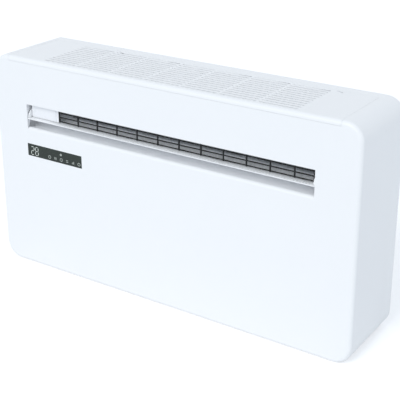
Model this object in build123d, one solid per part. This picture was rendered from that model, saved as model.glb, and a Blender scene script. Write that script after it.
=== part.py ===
from build123d import *
import math
import os

# Monoblock air conditioner. Millimetres. X runs along the front from left to right, Y from front to back,
# Z up. The origin is at the middle of the underside.

# Casing
case_width = 1000.0
case_height = 555.0
case_depth = 215.0
case_wall = 3.0
case_corner_r = 43.0
case_front_r = 10.0
rim_setback = 3.0
fit_gap = 0.3
fold_gap = 0.4

# Lift-off intake grille
panel_half = case_width / 2 - 50.0
panel_lip_drop = 12.0
panel_rear_strip = 33.0
panel_gap = 0.4
ledge_width = 8.0
ledge_thick = 3.0
slot_rows = 12
slot_row_pitch = 13.6
slot_bays = 7
slot_bay_pitch = 99.0
slot_web = 6.0
slot_width = 4.0
first_row_inset = 19.0
notch_length = 20.0
notch_width = 3.4
notch_angle = -23.0
notch_inset = 8.5
notch_xs = (-232.0, 364.0)

# Outlet opening and flap
outlet_half = case_width / 2 - 102.0
outlet_height = 60.0
outlet_top = case_height - 116.5
outlet_bottom = outlet_top - outlet_height
outlet_lip_r = 8.0
outlet_hood = 9.5
pivot_inset = 18.5
pivot_z = outlet_top - 21.0
flap_offset = 17.5
flap_thick = 2.5
flap_front = 18.0
flap_rear = 36.0
flap_end_gap = 0.8
arm_thick = 3.2
arm_boss_r = 6.0
pin_r = 2.0
drive_r = 2.5
pivot_fit = 0.05
seat_fit = 0.02
pivot_wall = 3.0
pivot_wall_gap = 2.0

# Outlet guard
guard_inset = 13.0
guard_thick = 3.0
guard_reach = 13.2
guard_bar = 3.0
guard_bar_pitch = 11.0
guard_bars = 3
guard_top_bar_drop = 9.5
guard_rib = 4.0
guard_ribs = 12
guard_first_rib = -outlet_half + 93.5
guard_run_out = 4.3
guard_rib_pitch = (outlet_half + guard_run_out - guard_first_rib) / guard_ribs
guard_rail = 8.0
guard_end_gap = 6.0

# Room fan and the air guide round it
fan_r = 42.0
plate_recess = 10.5
plate_y = case_depth / 2 - plate_recess
fan_y = plate_y - 87.0
fan_bottom_gap = 7.4
fan_top_gap = 5.1
fan_left = guard_first_rib + 6.5
fan_right = outlet_half - 6.0
fan_blades = 24
blade_depth = 10.0
blade_thick = 1.4
blade_lean = 32.0
fan_disc = 2.0
fan_rings = 3
shaft_r = 4.0
guide_wall = 3.0
scoop_clearance = 3.5
scoop_end_angle = -20.0
scroll_end_y = fan_y + 43.5
scroll_end_rise = 18.0
coil_z = case_height - 36.0
tray_bottom = coil_z - 45.0
guide_top = tray_bottom + 12.0
fan_end_wall_left = guard_first_rib - 1.5
bearing_r = 16.0
bearing_length = 7.0
motor_r = 38.0
motor_left = -outlet_half
motor_right = motor_left + 82.0
rib_inset = 8.0
rib_xs = [k * (outlet_half - rib_inset) / 2 for k in (-2, -1, 0, 1, 2)]
rib_thick = 4.0
tongue_gap = 3.0
tongue_rise = 14.0

# Evaporator and its tray
coil_y = plate_y - 99.0
coil_tilt = 8.0
coil_length = 170.0
coil_thick = 26.0
coil_left = fan_end_wall_left + 18.0
coil_right = outlet_half - 16.0
coil_plate = 2.0
coil_seat_drop = 11.0
coil_seat_depth = 10.5
tube_r = 3.5
tube_pitch = 21.0
tray_y0 = scroll_end_y + 3.5
tray_y1 = plate_y - 2.0
tray_wall = 2.5
tray_front_top = tray_bottom + 20.0
tray_rear_top = tray_bottom + 26.0

# Filters
filter_thick = 4.0
filter_drop = 2.0
filter_width = 420.0
filter_front_gap = 9.0
filter_rear_gap = 3.0
filter_rim = 8.0
filter_bars = 3
mesh_thick = 0.8

# Partition and steel frame
divider_z0 = 318.0
divider_z1 = 336.0
sheet = 1.5
pan_rim = 42.0
comp_x = case_width / 2 - 95.0
bulkhead_left_x = -case_width / 2 + 160.0
bulkhead_right_x = comp_x - 87.0
flange = 14.0

# Back plate, ducts and bracket
rim_width = 15.0
rim_inset = 1.0
duct_spacing = 405.0
scroll_hole_gap = 1.0
duct_z = 165.0
duct_r = 81.0
duct_wall = 2.5
duct_flange = 9.0
duct_seat = 4.0
drain_x = -case_width / 2 + 60.0
drain_z = 32.0
drain_r = 8.0
drain_neck_r = 9.0
gland_x = -case_width / 2 + 100.0
gland_z = 80.0
gland_r = 10.0
bracket_half = 260.0
hook_z = case_height - 125.0
bracket_z0 = hook_z - 32.0
bracket_z1 = hook_z + 28.0
bracket_thick = 2.0
bracket_hole_r = 4.0
bracket_hole_dx = 440.0
bracket_hole_dz = 36.0
hook_xs = (-180.0, 0.0, 180.0)
hook_half = 15.0
hook_rise = 12.0
screw_r = 1.6
screw_head_r = 4.0
boss_half = 5.5
side_screw_zs = (90.0, case_height / 2, case_height - 90.0)
top_screw_xs = (-250.0, 250.0)

# Outdoor side
volute_x = bulkhead_right_x - 283.0
condenser_x0 = bulkhead_left_x + 18.0
condenser_x1 = volute_x - 110.0
condenser_y0 = plate_y - 63.0
condenser_thick = 32.0
condenser_top = 312.0
volute_y0 = plate_y - 78.0
duct_offset = 170.0
impeller_r = 86.0
impeller_front = volute_y0 + 14.0
impeller_back = volute_y0 + 67.0
impeller_blades = 11
impeller_eye_r = 58.0
ring_clearance = 3.0
outdoor_motor_r = 42.0
outdoor_motor_front = volute_y0 + 43.0
volute_wall = 3.0
volute_box_right = bulkhead_right_x - 13.0
volute_box_bottom = 70.0
volute_box_top = 279.0

# Compressor set
comp_y = plate_y - 83.0
comp_r = 56.0
comp_bottom = 32.0
comp_height = 190.0
comp_foot_r = 74.0
acc_x = comp_x - 53.0
acc_y = comp_y - 72.0
acc_r = 23.0
acc_bottom = 70.0
acc_height = 130.0
pipe_r = 4.8
thin_pipe_r = 3.2
pipe_fit = 0.3
riser_x = comp_x + 45.0
valve_z = 268.0
valve_y = comp_y - 58.0
valve_offset = -15.0
valve_stub = 24.0
valve_pitch = 19.0
pipe_bend = 8.0
low_pipe_rise = 24.0

# Electrical parts and display
box_x0 = -case_width / 2 + 12.0
box_y0 = -case_depth / 2 + 19.5
box_y1 = plate_y - 37.0
box_z0 = 34.0
box_z1 = 296.0
box_wall = 2.0
display_x = -outlet_half + 83.0
display_z = outlet_bottom - 58.3
display_width = 174.0
display_height = 32.3
display_depth = 1.6
display_rim = 2.0
window_gap = 0.1
board_thick = 1.6
capacitor_r = 21.0
capacitor_height = 74.0
board_gap = 0.3

front_y = -case_depth / 2
back_y = case_depth / 2
inner_front_y = front_y + case_wall
inner_top_z = case_height - case_wall
cover_rear_y = back_y - rim_setback
panel_rear_y = back_y - panel_rear_strip
panel_lip_z = case_height - panel_lip_drop
pivot_y = front_y + pivot_inset
guard_y = front_y + guard_inset
guard_back_y = guard_y + guard_thick
flap_tip_r = math.hypot(flap_offset, flap_rear)
scoop_r = flap_tip_r + scoop_clearance
scoop_end_z = pivot_z + scoop_r * math.sin(math.radians(scoop_end_angle))
lip_end_y = front_y + outlet_lip_r
pivot_wall_x = outlet_half + pivot_wall_gap
pan_floor_z = case_wall + fold_gap + sheet
pan_front_y = front_y + case_front_r + fit_gap
pan_rear_y = plate_y - fit_gap
low_pipe_z = pan_floor_z + low_pipe_rise
duct_xs = (volute_x + duct_offset - duct_spacing, volute_x + duct_offset)


def block(x0, x1, y0, y1, z0, z1):
    """A rectangular solid between two corners."""
    return Pos((x0 + x1) / 2, (y0 + y1) / 2, (z0 + z1) / 2) * Box(x1 - x0, y1 - y0, z1 - z0)


def along_x(face, x0, x1):
    """Carries a profile drawn in Y and Z from x0 to x1."""
    return extrude(Plane.YZ.offset(x0) * face, amount=x1 - x0)


def along_y(face, y0, y1):
    """Carries an outline drawn in X and Z from y0 to y1."""
    return extrude(Plane.XZ.offset(-y1) * face, amount=y1 - y0)


def rod_x(x0, x1, y, z, r):
    return Pos((x0 + x1) / 2, y, z) * Rot(0, 90, 0) * Cylinder(r, x1 - x0)


def rod_y(x, y0, y1, z, r):
    return Pos(x, (y0 + y1) / 2, z) * Rot(90, 0, 0) * Cylinder(r, y1 - y0)


def rod_z(x, y, z0, z1, r):
    return Pos(x, y, (z0 + z1) / 2) * Cylinder(r, z1 - z0)


def polygon(points):
    return make_face(Polyline(*points, close=True))


def touching_solids(shape, boxes):
    """The parts of a shape inside boxes that share only faces, each simple enough to collide exactly."""
    parts = []
    for box in boxes:
        common = shape & block(*box)
        parts += [s for s in (common.solids() if common else []) if s.volume > 1]
    return parts


def rounded_outline(inset):
    """The casing's outline in X and Z, moved inwards."""
    outline = RectangleRounded(case_width - 2 * inset, case_height - 2 * inset, case_corner_r - inset)
    return Pos(0, case_height / 2) * outline


def tub(inset, rear_y):
    """A closed form with the casing's outline and its rounded front edge."""
    body = along_y(rounded_outline(inset), front_y + inset, rear_y)
    rim = body.faces().sort_by(Axis.Y)[0].edges()
    return fillet(rim, case_front_r - inset)


def case_shell():
    return tub(0, cover_rear_y) - tub(case_wall, cover_rear_y + 1)


def ledge(gap):
    """The step inside the top opening that the lift-off grille rests on."""
    z0, z1 = inner_top_z - gap - ledge_thick, inner_top_z - gap
    solids = []
    for side in (-1, 1):
        a, b = sorted((side * (panel_half - ledge_width), side * (panel_half + ledge_width)))
        c, d = sorted((side * (panel_half + 1), side * (panel_half + ledge_width)))
        solids.append(block(a, b, inner_front_y + 12, panel_rear_y, z0, z1))
        solids.append(block(c, d, inner_front_y + 12, panel_rear_y, z1, inner_top_z))
    x = panel_half + ledge_width
    solids.append(block(-x, x, panel_rear_y - ledge_width, panel_rear_y + ledge_width, z0, z1))
    solids.append(block(-x, x, panel_rear_y + 1, panel_rear_y + ledge_width, z1, inner_top_z))
    return solids


def screw_bosses():
    """Pads in the cover for the screws that come through the back plate."""
    pads = []
    for z in side_screw_zs:
        for side in (-1, 1):
            a, b = sorted((side * (screw_x - boss_half), side * (case_width / 2 - case_wall + 0.5)))
            pads.append(block(a, b, cover_rear_y - 30, cover_rear_y, z - boss_half, z + boss_half))
    for x in top_screw_xs:
        top = inner_top_z + 0.5
        pads.append(block(x - boss_half, x + boss_half, cover_rear_y - 30, cover_rear_y,
                          screw_top_z - boss_half, top))
    return pads


screw_x = case_width / 2 - case_wall - boss_half
screw_top_z = inner_top_z - boss_half


def screw_places():
    sides = [(side * screw_x, z) for z in side_screw_zs for side in (-1, 1)]
    return sides + [(x, screw_top_z) for x in top_screw_xs]


def front_cover():
    cover = case_shell()
    cover -= block(-panel_half, panel_half, front_y - 1, panel_rear_y, panel_lip_z, case_height + 1)
    cover -= block(-outlet_half, outlet_half, front_y - 1, inner_front_y + 1,
                   outlet_bottom - outlet_lip_r, outlet_top)
    cover += ledge(fit_gap)
    cover += screw_bosses()
    with BuildSketch() as roll:
        with Locations((lip_end_y, outlet_bottom - outlet_lip_r)):
            Circle(outlet_lip_r)
            Circle(outlet_lip_r - case_wall, mode=Mode.SUBTRACT)
        with Locations((lip_end_y - outlet_lip_r / 2 - 0.5, outlet_bottom - outlet_lip_r / 2)):
            Rectangle(outlet_lip_r + 1, outlet_lip_r, mode=Mode.INTERSECT)
    cover += along_x(roll.sketch, -outlet_half, outlet_half)
    cover += block(-outlet_half, outlet_half, inner_front_y - 0.5, front_y + outlet_hood,
                   outlet_top, outlet_top + case_wall)
    cover -= block(display_x - display_width / 2, display_x + display_width / 2, front_y - 1,
                   front_y + display_depth, display_z - display_height / 2, display_z + display_height / 2)
    cover -= block(display_x - display_width / 2 + display_rim, display_x + display_width / 2 - display_rim,
                   front_y - 1, inner_front_y + 1,
                   display_z - display_height / 2 + display_rim,
                   display_z + display_height / 2 - display_rim)
    for x, z in screw_places():
        cover -= rod_y(x, cover_rear_y - 22, cover_rear_y + 1, z, screw_r)
    return touching_solids(cover, cover_boxes())


def cover_boxes():
    """The front plate round its opening first, then the walls, the corners and the strips behind it."""
    x, far, out = panel_half, case_width, outlet_half
    lip, top, high, turn = outlet_bottom - outlet_lip_r, outlet_top, case_height + 1, case_corner_r
    rear, step = cover_rear_y + 1, panel_rear_y - ledge_width
    front = [(-far, -x, -1, high), (x, far, -1, high), (-x, x, -1, lip), (-x, -out, lip, top),
             (-out, out, lip, top), (out, x, lip, top), (-x, x, top, high)]
    walls = [(-far, -x, -1, turn), (x, far, -1, turn), (-x, x, -1, turn), (-far, -x, turn, high - turn),
             (x, far, turn, high - turn), (-far, -x, high - turn, high), (x, far, high - turn, high)]
    boxes = [(a, b, front_y - 1, inner_front_y, c, d) for a, b, c, d in front]
    boxes += [(a, b, inner_front_y, rear, c, d) for a, b, c, d in walls]
    return boxes + [(-x, x, inner_front_y, step, turn, high), (-x, x, step, rear, turn, high)]


def slot_centres():
    """Middle of every intake slot."""
    first_y = front_y + first_row_inset
    bays = [(i - (slot_bays - 1) / 2) * slot_bay_pitch for i in range(slot_bays)]
    return [(x, first_y + row * slot_row_pitch) for row in range(slot_rows) for x in bays]


def top_panel():
    """The lift-off grille: the casing's own skin between the seams, with slots and filter ribs."""
    x = panel_half - panel_gap
    window = block(-x, x, front_y - 1, panel_rear_y - panel_gap, panel_lip_z + panel_gap, case_height + 1)
    panel = case_shell() & window
    slots = [Pos(cx, cy, case_height) * Box(slot_bay_pitch - slot_web, slot_width, 3 * case_wall)
             for cx, cy in slot_centres()]
    panel -= slots
    for x_notch in notch_xs:
        notch = Box(notch_length, notch_width, 3 * case_wall)
        panel -= Pos(x_notch, panel_rear_y - notch_inset, case_height) * Rot(0, 0, notch_angle) * notch
    y0, y1 = filter_span()
    for side in (-1, 0, 1):
        rib_x = side * (slot_bays * slot_bay_pitch / 2 + 2 * slot_web)
        panel += block(rib_x - 2, rib_x + 2, y0, y1, inner_top_z - filter_drop, inner_top_z)
    return panel


def filter_span():
    return inner_front_y + filter_front_gap, panel_rear_y - ledge_width - filter_rear_gap


def filter_box(side):
    """Limits of one filter, left or right of the middle rib."""
    y0, y1 = filter_span()
    z1 = inner_top_z - filter_drop
    a, b = sorted((side * 1.0, side * (filter_width + 1.0)))
    return a, b, y0, y1, z1 - filter_thick, z1


def filter_frame(side):
    a, b, y0, y1, z0, z1 = filter_box(side)
    frame = block(a, b, y0, y1, z0, z1)
    pitch = (b - a - filter_rim) / (filter_bars + 1)
    for i in range(filter_bars + 1):
        left = a + filter_rim + i * pitch
        frame -= block(left, left + pitch - filter_rim, y0 + filter_rim, y1 - filter_rim, z0 - 1, z1 + 1)
    return frame


def filter_mesh():
    """The fine net in each window of the two filter frames."""
    sheets = []
    for side in (-1, 1):
        a, b, y0, y1, z0, z1 = filter_box(side)
        pitch = (b - a - filter_rim) / (filter_bars + 1)
        mid = (z0 + z1) / 2
        for i in range(filter_bars + 1):
            left = a + filter_rim + i * pitch
            sheets.append(block(left, left + pitch - filter_rim, y0 + filter_rim, y1 - filter_rim,
                                mid - mesh_thick / 2, mid + mesh_thick / 2))
    return sheets


def flap_blade():
    """The flap in its open place, with the arms that carry its pivots."""
    end_x = outlet_half - flap_end_gap
    under = pivot_z - flap_offset
    plate = block(-end_x, end_x, pivot_y - flap_front, pivot_y + flap_rear, under, under + flap_thick)
    long_edges = plate.edges().filter_by(Axis.X).group_by(Axis.Y)
    plate = fillet(long_edges[0] + long_edges[-1], flap_thick * 0.45)
    face_z = under + flap_thick - 0.3
    with BuildSketch() as arm:
        with BuildLine():
            a = (pivot_y - flap_front + 2.0, face_z)
            b = (pivot_y, pivot_z + arm_boss_r)
            c = (pivot_y + arm_boss_r, pivot_z)
            d = (pivot_y + 1.0, face_z)
            ThreePointArc(a, (pivot_y - 11.5, pivot_z - 2.0), b)
            ThreePointArc(b, (pivot_y + arm_boss_r * 0.7071, pivot_z + arm_boss_r * 0.7071), c)
            ThreePointArc(c, (pivot_y + 1.5, pivot_z - 8.0), d)
            Line(d, a)
        make_face()
    x1 = end_x - 0.5
    x0 = x1 - arm_thick
    right = along_x(arm.sketch, x0, x1) - rod_x(x0 - 1, x1 + 1, pivot_y, pivot_z, pin_r + seat_fit)
    left = along_x(arm.sketch, -x1, -x0) - rod_x(-x1 - 1, -x0 + 1, pivot_y, pivot_z, drive_r + seat_fit)
    return plate + right + left


def arm_span():
    x1 = outlet_half - flap_end_gap - 0.5
    return x1 - arm_thick, x1


def flap_pin():
    return rod_x(arm_span()[0], pivot_wall_x + pivot_wall, pivot_y, pivot_z, pin_r)


def flap_drive_shaft():
    return rod_x(-pivot_wall_x - pivot_wall - 6, -arm_span()[0], pivot_y, pivot_z, drive_r)


def flap_motor():
    """Stepper motor with its mounting ears, behind the left pivot wall."""
    x1 = -pivot_wall_x - pivot_wall
    body = rod_x(x1 - 22, x1 - 1.5, pivot_y, pivot_z, 13)
    flange = block(x1 - 1.5, x1, pivot_y - 5, pivot_y + 5, pivot_z - 20, pivot_z + 20)
    cap = block(x1 - 20, x1 - 4, pivot_y + 10, pivot_y + 17, pivot_z - 8, pivot_z + 8)
    bore = rod_x(x1 - 7, x1 + 1, pivot_y, pivot_z, drive_r + pivot_fit)
    return body + flange + cap - bore


def guard_bottom():
    """Lower edge of the guard, just inside the circle that the flap's inner face sweeps."""
    return pivot_z - guard_reach


def outlet_guard():
    """Black finger guard: a top rail, three bars and the ribs that carry them."""
    x0 = guard_first_rib - guard_rib / 2
    x1 = outlet_half - guard_end_gap
    top = outlet_top + guard_rail
    parts = [block(x0, x1, guard_y, guard_back_y, outlet_top, top)]
    for k in range(guard_ribs):
        x = guard_first_rib + k * guard_rib_pitch
        a, b = x - guard_rib / 2, x + guard_rib / 2
        parts.append(block(a, b, guard_y, guard_back_y, guard_bottom(), outlet_top))
    parts.append(block(x1 - guard_rib, x1, guard_y, guard_back_y, guard_bottom(), outlet_top))
    for k in range(guard_bars):
        z = outlet_top - guard_top_bar_drop - k * guard_bar_pitch
        parts.append(block(x0, x1, guard_y + 0.4, guard_back_y - 0.4, z - guard_bar / 2, z + guard_bar / 2))
    guard = parts[0]
    guard += parts[1:]
    return guard


def guard_end_cover():
    """White panel that closes the outlet left of the guard."""
    x0 = -outlet_half + guard_end_gap
    x1 = guard_first_rib - guard_rib / 2 - fit_gap
    top = outlet_top + guard_rail
    panel = block(x0, x1, guard_y, guard_back_y, guard_bottom(), top)
    step = block(x1 - 8, x1 + 1, guard_y - 1, guard_y + 1, guard_bottom() - 1, outlet_top)
    return panel - step


def guide_path(offset):
    """Corners and arc points of the air side of the guide, moved outwards by offset."""
    r = scoop_r + offset
    start = (lip_end_y + 0.3, pivot_z - math.sqrt(r ** 2 - (lip_end_y + 0.3 - pivot_y) ** 2))
    floor_z = scoop_end_z - offset
    scoop_end = (pivot_y + math.sqrt(r ** 2 - (pivot_z - floor_z) ** 2), floor_z)
    scoop_mid = (pivot_y + r * math.sin(math.radians(20)), pivot_z - r * math.cos(math.radians(20)))
    floor_end = (fan_y, floor_z)
    fan_z = fan_centre_z()
    run, rise = scroll_end_y - fan_y, fan_z + scroll_end_rise - scoop_end_z
    scroll_r = (run ** 2 + rise ** 2) / (2 * rise)
    centre_z = scoop_end_z + scroll_r
    big = scroll_r + offset
    scroll_mid = (fan_y + big * math.sin(math.radians(60)), centre_z - big * math.cos(math.radians(60)))
    end_y = scroll_end_y + offset
    scroll_end = (end_y, centre_z + math.sqrt(big ** 2 - (end_y - fan_y) ** 2))
    return start, scoop_mid, scoop_end, floor_end, scroll_mid, scroll_end, (end_y, guide_top)


def fan_centre_z():
    return scoop_end_z + fan_bottom_gap + fan_r


def guide_face(inner, outer, whole=True):
    """The guide's wall in Y and Z; without the scroll it is the scoop and a flat shelf."""
    with BuildSketch() as wall:
        with BuildLine():
            if whole:
                ThreePointArc(inner[0], inner[1], inner[2])
                Line(inner[2], inner[3])
                ThreePointArc(inner[3], inner[4], inner[5])
                Polyline(inner[5], inner[6], outer[6], outer[5])
                ThreePointArc(outer[5], outer[4], outer[3])
            else:
                ThreePointArc(inner[0], inner[1], inner[2])
                Polyline(inner[2], (inner[6][0], inner[2][1]), (inner[6][0], outer[2][1]), outer[3])
            Line(outer[3], outer[2])
            ThreePointArc(outer[2], outer[1], outer[0])
            Line(outer[0], inner[0])
        make_face()
    return wall.sketch


def rib_face(path):
    """A support rib under the guide, down to the partition."""
    with BuildSketch() as rib:
        with BuildLine():
            ThreePointArc(path[0], path[1], path[2])
            Line(path[2], path[3])
            ThreePointArc(path[3], path[4], path[5])
            foot = (tray_y0 + 8, divider_z1)
            Polyline(path[5], (tray_y0 + 8, path[5][1]), foot, (path[0][0] + 8, divider_z1), path[0])
        make_face()
    return rib.sketch


def air_guide():
    """One moulding: scoop, outlet floor, scroll, end walls, tray shelf and ribs."""
    inner, outer, middle = guide_path(0), guide_path(guide_wall), guide_path(guide_wall / 2)
    x1 = pivot_wall_x + pivot_wall
    guide = along_x(guide_face(inner, outer), fan_end_wall_left, x1)
    guide += along_x(guide_face(inner, outer, whole=False), -x1, fan_end_wall_left)
    for side in (-1, 1):
        a, b = sorted((side * pivot_wall_x, side * x1))
        side_wall = block(a, b, inner_front_y + fit_gap, inner[2][0], outer[1][1], outlet_top - fit_gap)
        hole = rod_x(a - 1, b + 1, pivot_y, pivot_z, (pin_r if side > 0 else drive_r) + pivot_fit)
        guide += side_wall - hole
    fan_z = fan_centre_z()
    rear_y, front_end_y = tray_y0 - fit_gap, outer[2][0]
    step_y = front_end_y + 4 * guide_wall
    low_top = outlet_top - fit_gap
    end = polygon([(front_end_y, outer[2][1]), (rear_y, outer[2][1]), (rear_y, guide_top),
                   (step_y, guide_top), (step_y, low_top), (front_end_y, low_top)])
    guide += along_x(end, pivot_wall_x, x1) - rod_x(pivot_wall_x - 1, x1 + 1, fan_y, fan_z, bearing_r)
    left_end = along_x(end, fan_end_wall_left, fan_end_wall_left + guide_wall)
    guide += left_end - rod_x(fan_end_wall_left - 1, fan_end_wall_left + 5, fan_y, fan_z, shaft_r * 2)
    motor_y = inner[2][0]
    guide += block(-x1, fan_end_wall_left, motor_y, motor_y + guide_wall, inner[2][1], low_top)
    shelf = block(fan_end_wall_left, x1, outer[6][0] - 1, tray_y1 - 1, tray_bottom - guide_wall, tray_bottom)
    guide += shelf
    for x in rib_xs:
        guide += along_x(rib_face(middle), x - rib_thick / 2, x + rib_thick / 2)
    return guide


def coil_frame():
    """Place and tilt of the evaporator."""
    return Pos(0, coil_y, coil_z) * Rot(-coil_tilt, 0, 0)


def coil_box(grow, x0, x1):
    size = Box(x1 - x0, coil_length + 2 * grow, coil_thick + 2 * grow)
    return Pos((x0 + x1) / 2, coil_y, coil_z) * Rot(-coil_tilt, 0, 0) * size


def duct_ceiling():
    """Upper wall of the outlet, the stabiliser beside the fan and the front seat of the evaporator."""
    x1 = pivot_wall_x + pivot_wall
    tongue_y = fan_y - fan_r - tongue_gap
    tongue_z = fan_centre_z() + tongue_rise
    wall_y, shelf_z = guard_back_y + guide_wall, coil_z - coil_seat_drop
    seat_y, top_z = wall_y + coil_seat_depth, coil_z + 4
    ceiling_z = outlet_top + guide_wall
    profile = polygon([(guard_back_y, outlet_top), (tongue_y, outlet_top), (tongue_y, tongue_z),
                       (tongue_y - guide_wall, tongue_z), (tongue_y - guide_wall, ceiling_z),
                       (wall_y, ceiling_z), (wall_y, shelf_z), (seat_y, shelf_z), (seat_y, top_z),
                       (guard_back_y, top_z)])
    wide = along_x(profile, -x1, x1)
    return wide - coil_box(fit_gap, -x1 - 1, x1 + 1)


def evaporator_core():
    return coil_box(0, coil_left, coil_right)


def evaporator_plates():
    """Steel end plates of the coil."""
    left = coil_box(0, coil_left - coil_plate, coil_left)
    right = coil_box(0, coil_right, coil_right + coil_plate)
    return [left, right]


def bend(pitch, r, tube):
    """A half-round return bend in its own plane, legs towards -Y."""
    path = CenterArc((0, 0, 0), pitch / 2, 0, 180)
    start = Plane(origin=(pitch / 2, 0, 0), x_dir=(1, 0, 0), z_dir=(0, 1, 0))
    return sweep(start * RegularPolygon(tube, 6), path=path)


def coil_tube(row, tube):
    """Place of a tube's end at the right of the coil: the row and the number counted from the front."""
    return coil_frame() * Pos(coil_right + coil_plate, (tube - 3.5) * tube_pitch, row * coil_thick / 4)


def evaporator_bends():
    """Return bends of the two tube rows at the right end; two ends stay free for the pipes."""
    solids = []
    x = coil_right + coil_plate
    for row, starts in ((-1, (1, 3, 5)), (1, (0, 2, 4, 6))):
        for start in starts:
            along = (start - 3) * tube_pitch
            place = Rot(0, 0, -90) * bend(tube_pitch, tube_pitch / 2, tube_r)
            solids.append(coil_frame() * Pos(x, along, row * coil_thick / 4) * place)
    return solids


def drip_tray():
    """Channel under the low edge of the evaporator, with the ribs that the coil rests on."""
    x0, x1 = fan_end_wall_left, pivot_wall_x + pivot_wall
    tray = block(x0, x1, tray_y0, tray_y1, tray_bottom, tray_bottom + tray_wall)
    tray += block(x0, x1, tray_y0, tray_y0 + tray_wall, tray_bottom, tray_front_top)
    tray += block(x0, x1, tray_y1 - tray_wall, tray_y1, tray_bottom, tray_rear_top)
    for x in (x0, x1 - tray_wall):
        tray += block(x, x + tray_wall, tray_y0, tray_y1, tray_bottom, tray_front_top)
    for x in rib_xs[1:]:
        if x < coil_right:
            seat = block(x, x + rib_thick, tray_y0 + 1, tray_y1 - 1, tray_bottom + 1, tray_rear_top)
            tray += seat - coil_box(fit_gap, x - 5, x + 15)
    return tray


def room_fan_wheel():
    """Cross-flow wheel: curved blades round the rim, carried by end discs and rings."""
    z = fan_centre_z()
    length = fan_right - fan_left
    mid_r = fan_r - blade_depth / 2
    lean = math.radians(blade_lean)
    half = blade_depth / 2
    with BuildSketch() as blade:
        with BuildLine():
            p0 = (mid_r - half * math.cos(lean), -half * math.sin(lean))
            p2 = (mid_r + half * math.cos(lean), half * math.sin(lean))
            p1 = (mid_r + 1.4, -1.8)
            q1 = (p1[0] + blade_thick * math.sin(lean), p1[1] - blade_thick * math.cos(lean))
            q0 = (p0[0] + 0.3, p0[1] - blade_thick * 0.8)
            q2 = (p2[0] + 0.2, p2[1] - blade_thick)
            Polyline(p0, p1, p2, q2, q1, q0, p0)
        make_face()
    section = blade.sketch
    wheel = rod_x(fan_left, fan_left + fan_disc, 0, 0, fan_r - 1)
    wheel += rod_x(fan_right - fan_disc, fan_right, 0, 0, fan_r - 1)
    step = length / (fan_rings + 1)
    for k in range(fan_rings):
        x = fan_left + (k + 1) * step
        wheel += rod_x(x, x + fan_disc, 0, 0, fan_r - 1) - rod_x(x - 1, x + 9, 0, 0, fan_r - blade_depth)
    blades = [Rot(360 * k / fan_blades, 0, 0) * along_x(section, fan_left + 0.5, fan_right - 0.5)
              for k in range(fan_blades)]
    wheel += blades
    bore = rod_x(fan_left - 1, fan_right + 1, 0, 0, shaft_r + seat_fit)
    return Pos(0, fan_y, z) * (wheel - bore)


def room_fan_shaft():
    """The two stub shafts: the left one comes from the motor, the right one runs in the bearing."""
    z = fan_centre_z()
    left = rod_x(motor_right - 8, fan_left + 14, fan_y, z, shaft_r)
    right = rod_x(fan_right - 14, pivot_wall_x + bearing_length, fan_y, z, shaft_r)
    return [left, right]


def room_fan_bearing():
    """Rubber-mounted bearing in the right end wall."""
    z = fan_centre_z()
    x0 = pivot_wall_x
    ring = rod_x(x0, x0 + bearing_length, fan_y, z, bearing_r - 0.1)
    ring += rod_x(x0 + pivot_wall, x0 + bearing_length, fan_y, z, bearing_r + 4)
    return ring - rod_x(x0 - 1, x0 + bearing_length + 1, fan_y, z, shaft_r + pivot_fit)


def room_fan_motor():
    """Motor can with a domed left end and a boss towards the wheel."""
    z = fan_centre_z()
    can = rod_x(motor_left, motor_right, fan_y, z, motor_r)
    can = chamfer(can.edges().sort_by(Axis.X)[0], 9, 5)
    can += rod_x(motor_right, motor_right + 4, fan_y, z, 14)
    return can - rod_x(motor_right - 10, motor_right + 5, fan_y, z, shaft_r + pivot_fit)


def motor_cradle():
    """Saddle and strap that hold the room fan's motor on the guide's shelf."""
    z = fan_centre_z()
    x0, x1 = motor_left + 18, motor_right - 18
    floor_z = scoop_end_z
    base = block(x0, x1, fan_y - 34, fan_y + 34, floor_z, z - 14)
    strap = rod_x(x0 + 12, x1 - 12, fan_y, z, motor_r + 2.3)
    return base + strap - rod_x(x0 - 1, x1 + 1, fan_y, z, motor_r + fit_gap)


def divider():
    """Insulated partition with a raised drip edge round its upper face."""
    x = case_width / 2 - case_wall - fold_gap
    slab = block(-x, x, front_y + 15, plate_y - fit_gap, divider_z0, divider_z1)
    for tube, radius in ((0, thin_pipe_r), (7, pipe_r)):
        y = coil_tube(-1, tube).position.Y
        slab -= rod_z(riser_x, y, divider_z0 - 1, divider_z1 + 1, radius + pipe_fit)
    return slab


def base_pan():
    """Folded steel pan that follows the inside of the casing's underside."""
    y0, y1 = pan_front_y, pan_rear_y
    outer = along_y(rounded_outline(case_wall + fold_gap), y0, y1)
    inner = along_y(rounded_outline(case_wall + fold_gap + sheet), y0 + sheet, y1 - sheet)
    keep = block(-case_width / 2, case_width / 2, front_y, back_y, 0, pan_floor_z + pan_rim)
    pan = (outer - inner) & keep
    low_z, high_z = pan_floor_z + flange, pan_floor_z + pan_rim + 1
    pan -= block(-panel_half, panel_half, y0 - 1, y0 + sheet + 0.5, low_z, high_z)
    pan -= rod_y(drain_x, y1 - 5, y1 + 5, drain_z, drain_neck_r + fit_gap)
    x, far, high = panel_half, case_width, case_height
    front, rear = y0 + sheet, y1 - sheet
    ends = [(-far, -x, y0, y1, 0, high), (x, far, y0, y1, 0, high)]
    strips = [(-x, x, a, b, 0, high) for a, b in ((y0, front), (front, rear), (rear, y1))]
    return touching_solids(pan, ends + strips)


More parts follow.
